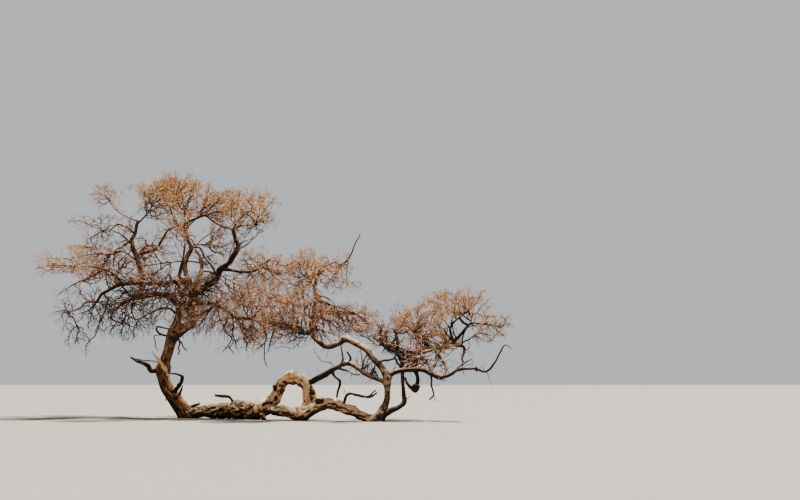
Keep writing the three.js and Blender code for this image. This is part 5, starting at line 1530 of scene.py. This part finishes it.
# %% Tubes for many runs at once
def thin_tubes(points, girths, lengths, sides, deal):
    """Closed tubes along many runs of points: places, faces of each size, and each face's run."""
    last = np.cumsum(lengths) - 1
    first = last - lengths + 1
    spot = np.arange(len(points))
    is_last, is_first = np.isin(spot, last), np.isin(spot, first)
    after, prior = spot + ~is_last, spot - ~is_first
    ahead = unit(points[after] - points[prior])
    mean = unit(points[last] - points[first])
    aside = np.repeat(unit(np.cross(mean, deal.normal(size=mean.shape))), lengths, axis=0)
    across = unit(aside - ahead * (aside * ahead).sum(1, keepdims=True))
    other = np.cross(ahead, across)
    count = np.where(is_last, 1, sides)
    start = np.cumsum(count) - count
    places = np.empty((count.sum(), 3))
    places[start[is_last]] = points[is_last]
    for k in range(sides):
        turn = 2 * math.pi * k / sides
        ring = points + girths[:, None] * (math.cos(turn) * across + math.sin(turn) * other)
        places[start[~is_last] + k] = ring[~is_last]
    body = ~is_last & ~is_last[after]
    end = ~is_last & is_last[after]
    turn = np.arange(sides)
    beside = (turn + 1) % sides
    low, high = start[body][:, None], start[after[body]][:, None]
    quads = np.stack([low + turn, low + beside, high + beside, high + turn], -1).reshape(-1, 4)
    low, top = start[end][:, None], np.repeat(start[after[end]][:, None], sides, axis=1)
    tips = np.stack([low + turn, low + beside, top], -1).reshape(-1, 3)
    base = np.stack([start[first] + k for k in reversed(range(sides))], -1)
    run = np.repeat(np.arange(len(lengths)), lengths)
    owner = np.concatenate([np.repeat(run[body], sides), np.repeat(run[end], sides), np.arange(len(lengths))])
    return places, [quads, tips, base], owner


one_twig = thin_tubes(np.eye(3), np.full(3, 0.01), np.array([3]), 3, seeded(SEED))
print("faces of a twig with three joints:", sum(len(part) for part in one_twig[1]))

# %% [markdown]
# ## Side shoots
# The last order is short: crooked side shoots a hand long, on every twig that feeds few tips.
# They could be grown by the same rule, but it asks for too much at this number. So they are
# dealt along the twigs by chance, bent once, and combed the way that their mass is combed.

# %% Side shoots along the thin twigs
SHOOT_EVERY, THIN_ENOUGH = 0.08, 16
SHOOT_LENGTHS, SHOOT_GIRTH = (0.07, 0.26), 0.0038
SHOOT_OUT, SHOOT_ACROSS = 0.06, 0.16


def side_shoots(index, runs, deal):
    """Three places for each side shoot of a mass: its root, its kink and its tip."""
    mass = MASSES[NAMES[index]]
    a = np.vstack([points[:-1] for points, *_ in runs])
    b = np.vstack([points[1:] for points, *_ in runs])
    fed = np.concatenate([feeds[1:] for *_, feeds in runs])
    long = np.linalg.norm(b - a, axis=1)
    count = deal.poisson(np.where(fed <= THIN_ENOUGH, long / SHOOT_EVERY, 0))
    a, b = (np.repeat(ends, count, axis=0) for ends in (a, b))
    ahead = unit(b - a)
    root = a + (b - a) * deal.uniform(0, 1, (len(a), 1))
    aside = unit(np.cross(ahead, deal.normal(size=a.shape)))
    outward = unit((root - HEARTS[index]) / REACHES[index] ** 2)
    hang = np.array([0, 0, 0.12 - 0.9 * mass["droop"]])
    way = unit(0.55 * ahead + 0.8 * aside + 0.35 * outward + 0.5 * combed(index) + hang)
    long = deal.uniform(*SHOOT_LENGTHS, len(a))[:, None]
    kink = unit(np.cross(way, deal.normal(size=a.shape)))
    middle = root + way * long * 0.5 + kink * long * 0.16
    tip = root + way * long + np.array([0, 0, -0.25 * mass["droop"]]) * long
    kept = in_room(index, tip, -SHOOT_OUT, -SHOOT_ACROSS)
    return np.stack([root, middle, tip], axis=1)[kept]


print("shoots of the first mass:", len(side_shoots(0, GROWN[NAMES[0]], seeded(SEED))))

# %% [markdown]
# ## Leaves
# Real leaves of this tree are feathers of tiny leaflets. From across a field they read as small
# narrow blades, so one blade of four faces, folded along its rib, stands for a few leaflets. They
# are real faces, not pictures on planes, and sit in two rows along their own shoot.

# %% Leaves along the shoots
LEAF_LENGTHS, LEAF_WIDTH, LEAF_FOLD, LEAF_DIP = (0.036, 0.07), 0.36, 0.55, 0.4
WIDEST_AT, RIB_AT = 0.42, 0.5
LEAVES_ON_ONE = 6


def leaf_blades(root, way, up, long):
    """Five corners and four faces for each leaf, folded along its rib."""
    across = unit(np.cross(way, up))
    up = np.cross(across, way)
    long = long[:, None]
    half = long * LEAF_WIDTH / 2
    lift = up * half * LEAF_FOLD
    corners = np.stack([
        root, root + way * long * WIDEST_AT + across * half + lift, root + way * long * RIB_AT,
        root + way * long * WIDEST_AT - across * half + lift, root + way * long - up * half * LEAF_DIP], axis=1)
    faces = np.array([(0, 1, 2), (0, 2, 3), (1, 4, 2), (2, 4, 3)])
    return corners.reshape(-1, 3), (np.arange(len(root))[:, None, None] * 5 + faces).reshape(-1, 3)


def leaves_on(shoots, deal):
    """Leaves in two rows along each shoot, and the number of the shoot each sits on."""
    per = LEAVES_ON_ONE
    share = np.tile(np.linspace(0.2, 1, per), len(shoots))
    side = np.tile(np.resize([1, -1], per), len(shoots))[:, None]
    spray = np.repeat(np.arange(len(shoots)), per)
    root, middle, tip = (shoots[spray, k] for k in range(3))
    early = (share < 0.5)[:, None]
    twice = share[:, None] * 2
    at = np.where(early, root + (middle - root) * twice, middle + (tip - middle) * (twice - 1))
    ahead = unit(tip - root)
    flat = unit(np.cross(ahead, deal.normal(size=shoots[:, 0].shape)[spray]))
    way = unit(ahead * deal.uniform(0.35, 0.9, (len(at), 1)) + flat * side + deal.normal(size=at.shape) * 0.25)
    up = unit(np.cross(ahead, flat) + deal.normal(size=at.shape) * 0.3)
    return at, way, up, deal.uniform(*LEAF_LENGTHS, len(at)), spray


one_leaf = leaf_blades(np.zeros((1, 3)), np.eye(3)[:1], np.eye(3)[2:], np.full(1, LEAF_LENGTHS[1]))
print("corners and faces of one leaf:", [len(part) for part in one_leaf])

# %% [markdown]
# ## Twig and leaf finishes
# Dead twigs bleach to straw and young ones are tan, which also paints sunlit twigs; the inner ones
# are brown to nearly black, partly older bark and partly painted shade. Each of these four
# finishes is two colours mixed by noise in the tree's own space, so neighbours differ, and a paler
# copy on the side that faces the sky is a painted highlight. The leaves keep plain base colours:
# their colour has a place, golden on top and rusty inside, and it is dealt out shoot by shoot. Noise
# only varies how dull they are and gives them fine veins.

# %% Finishes for twigs and leaves
TWIG_SHINE, LEAF_SHINE = 0.2, 0.25


def twig_finish(name, one, two):
    finish, tree, shader = new_finish(name, TWIG_SHINE)
    place = put(tree, "ShaderNodeTexCoord").outputs["Object"]
    patches = group_in(tree, patch_group, {"Place": place, "Size": 7.0, "Cover": 0.56, "Edge": 0.14})
    light = group_in(tree, dust_and_painted_light_group, {"Place": place, "Size": 30.0, "Amount": 0.45})
    colour = mixed(tree, patches.outputs["Mask"], one, two)
    # A paler copy of the second colour on what faces the sky: a painted highlight.
    colour = mixed(tree, light.outputs["Up"], colour, tuple(min(1, 1.4 * value) for value in two))
    tree.links.new(colour, shader.inputs["Base Color"])
    fine = put(tree, "ShaderNodeTexNoise", {"Vector": place, "Scale": 220.0, "Detail": 2.0})
    dull_and_bumpy(tree, shader, fine.outputs[0], (0.65, 0.95), 0.3, 0.002)
    return finish


def leaf_finish(name, colour):
    finish, tree, shader = new_finish(name, LEAF_SHINE)
    shader.inputs["Base Color"].default_value = (*colour, 1)
    place = put(tree, "ShaderNodeTexCoord").outputs["Object"]
    veins = put(tree, "ShaderNodeTexNoise", {"Vector": place, "Scale": 160.0, "Detail": 3.0})
    dull_and_bumpy(tree, shader, veins.outputs[0], (0.5, 0.85), 0.2, 0.001)
    return finish


# The tan finish also paints sunlit twigs, and the two darkest also paint shaded ones.
TWIGS = [twig_finish(*row) for row in (
    ("bleached_dead_twig", (0.52, 0.33, 0.19), (0.75, 0.53, 0.34)),
    ("sunlit_young_twig", (0.33, 0.155, 0.086), (0.5, 0.27, 0.155)),
    ("brown_twig", (0.075, 0.03, 0.015), (0.15, 0.064, 0.03)),
    ("black_brown_twig", (0.01, 0.005, 0.003), (0.03, 0.014, 0.008)),
)]
LEAVES = {label: leaf_finish("leaf_" + label, colour) for label, colour in {
    "golden": (0.62, 0.32, 0.085), "amber": (0.52, 0.25, 0.095), "straw": (0.62, 0.44, 0.2),
    "olive": (0.36, 0.3, 0.1), "rust": (0.4, 0.19, 0.1), "umber": (0.17, 0.085, 0.045)}.items()}
print("finishes:", len(bpy.data.materials))

# %% [markdown]
# ## Dress the limbs
# Each joined skin replaces the limbs that it covers, and their solids are hidden. The bark kind
# decides which piece and finish a skin belongs to.

# %% Pieces of bark
def dressed(piece, nodes):
    """The piece rides with the tree and stands for its solids, which are hidden."""
    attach(piece, "root")
    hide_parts(*nodes)


NODES_BY_BARK = {bark: [name for name, limb in LIMBS.items() if limb["bark"] == bark] for bark in RELIEF}
MASSES_BY_BARK = {bark: [name for name in NAMES if carrier_bark(name) == bark] for bark in RELIEF}
for home, label in (("dark", "trunk_and_dark_boughs"), ("pale", "pale_ground_stem"), ("grey", "grey_right_boughs"),
                    ("dark_crown", "small_dark_boughs"), ("grey_crown", "small_grey_boughs")):
    bark = home.split("_")[0]
    piece = join_skins(label, skins[home], BARKS[bark])
    dressed(piece, (MASSES_BY_BARK if "crown" in home else NODES_BY_BARK)[bark])

# %% [markdown]
# ## How dark each twig is
# The crown is paler at the top, and almost black below and inside: partly bleached and older wood,
# partly painted light on top and painted shade below and inside. Each twig is dealt one of the four
# finishes as a whole: the lower it is in its mass and the thicker, the darker it is likely to be,
# and some masses are darker than others.

# %% Darkness of the twigs
# Part of a mass's darkness is painted shade: the droops below and the inner masses are darker.
DARKNESS = {
    "golden": 0.42, "rusty": 0.5, "dark": 0.82, "heart_tangle": 0.6, "left_upper": 0.68, "right_droop": 0.42,
    "front_high": 0.66, "back_high": 0.6, "inner_left": 0.76, "inner_right": 0.72, "far_left": 0.3,
    "mid_right": 0.42,
}
PAINTED_SHADE_BELOW, DARKER_THICK, DARKNESS_SPREAD = 0.2, 0.12, 0.3
DARKNESS_STEPS = (0.04, 0.42, 0.68)


def dealt_kinds(base, height, deal, thick=False):
    """The finish of each twig, from 0 for straw to 3 for black."""
    # Lower twigs are darker: painted shade. Thicker ones are darker: older bark.
    darkness = base - PAINTED_SHADE_BELOW * height + DARKER_THICK * thick + deal.normal(0, DARKNESS_SPREAD, len(height))
    return np.digitize(darkness, DARKNESS_STEPS)


def heights_of(name, places):
    """How high places are in a mass: -1 at its underside and 1 at its top."""
    index = NAMES.index(name)
    return (places[:, 2] - HEARTS[index, 2]) / REACHES[index, 2]


def darkness_of(name, count):
    return np.full(count, DARKNESS.get(name, DARKNESS[MASSES[name]["tint"]]))


print("eight twigs at the top:", dealt_kinds(darkness_of("top", 8), np.ones(8), seeded(SEED)))

# %% [markdown]
# ## Dress the masses
# The twigs and leaves of all masses of one tint are joined, each kind apart, because Blender
# handles a few large meshes far better than thousands of objects. Thick twigs get four sides,
# the others three. The higher a shoot is in its mass, the more likely it bears leaves. Spurs and
# crossed sticks come last: dead wood without leaves.

# %% Pieces of twigs, leaves and spurs
BRANCHLET = 0.0075
SHOOT_TAPER = (1, 0.7, 0)
LEAFY = {"golden": 1.3, "rusty": 0.75, "dark": 0.4}
DEALS = {
    "golden": {"golden": 0.5, "amber": 0.26, "straw": 0.1, "olive": 0.14},
    "rusty": {"amber": 0.32, "rust": 0.28, "golden": 0.2, "straw": 0.1, "umber": 0.1},
    "dark": {"rust": 0.42, "umber": 0.38, "amber": 0.2},
}


def piece_of_tubes(name, points, girths, lengths, sides, darkness, heights, thick, deal):
    """One mesh from many runs, each with its own finish."""
    places, faces, owner = thin_tubes(points, girths, lengths, sides, deal)
    kinds = dealt_kinds(darkness, heights, deal, thick)
    return joined_mesh(name, places, faces, TWIGS, kind=kinds[owner])


def piece_of_leaves(tint, shoots, deal):
    leafy = []
    for name, part in shoots.items():
        higher = np.clip(0.5 + 0.6 * heights_of(name, part[:, 2]), 0.08, 1)
        chance = LEAFY[tint] * MASSES[name]["leaves"] / 10 * higher
        leafy.append(part[deal.uniform(0, 1, len(part)) < chance])
    at, way, up, long, spray = leaves_on(np.concatenate(leafy), deal)
    places, faces = leaf_blades(at, way, up, long)
    dealt = deal.choice(len(LEAVES), size=spray.max() + 1, p=[DEALS[tint].get(label, 0) for label in LEAVES])
    kinds = np.repeat(dealt[spray], 4)
    return joined_mesh(tint + "_leaves", places, [faces], LEAVES.values(), kind=kinds, smooth=False)


def joints_of(runs):
    """All places and girths of the runs in a row, and how many belong to each run."""
    points, girths = (np.concatenate([run[k] for run in runs]) for k in (0, 1))
    return points, girths, np.array([len(run[0]) for run in runs])


for tint in DEALS:
    deal = seeded(SEED + len(tint))
    nodes = [name for name in NAMES if MASSES[name]["tint"] == tint]
    shoots = {name: side_shoots(NAMES.index(name), GROWN[name], deal) for name in nodes}
    for label, sides, thick in (("branchlets", 4, True), ("twigs", 3, False)):
        kept = [(run, name) for name in nodes for run in GROWN[name] if (run[1].max() >= BRANCHLET) == thick]
        points, girths, lengths = joints_of([run for run, _ in kept])
        heights = [heights_of(name, run[0][-1:]) for run, name in kept]
        darkness = [darkness_of(name, 1) for _, name in kept]
        if not thick:
            sprays = np.concatenate(list(shoots.values()))
            points = np.vstack([points, sprays.reshape(-1, 3)])
            girths = np.concatenate([girths, np.tile(SHOOT_TAPER, len(sprays)) * SHOOT_GIRTH])
            lengths = np.concatenate([lengths, np.full(len(sprays), 3)])
            heights += [heights_of(name, part[:, 2]) for name, part in shoots.items()]
            darkness += [darkness_of(name, len(part)) for name, part in shoots.items()]
        piece = piece_of_tubes(tint + "_" + label, points, girths, lengths, sides,
                               np.concatenate(darkness), np.concatenate(heights), thick, deal)
        dressed(piece, nodes)
    dressed(piece_of_leaves(tint, shoots, deal), nodes)

runs, darkness = zip(*SPURS)
piece = piece_of_tubes("bare_spurs", *joints_of(runs), 4, np.array(darkness), np.zeros(len(runs)), False,
                       seeded(SEED + 50))
dressed(piece, [name for name in SPURS_PER_METRE if name in LIMBS])

# %% [markdown]
# ## Measure and finish
# The dressed tree may not outgrow its solids, so its box is printed, as the box of the solids was at the start.

# %% Sizes and the last line
low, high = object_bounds()
print("visual box:", [round(v, 3) for v in low], [round(v, 3) for v in high])
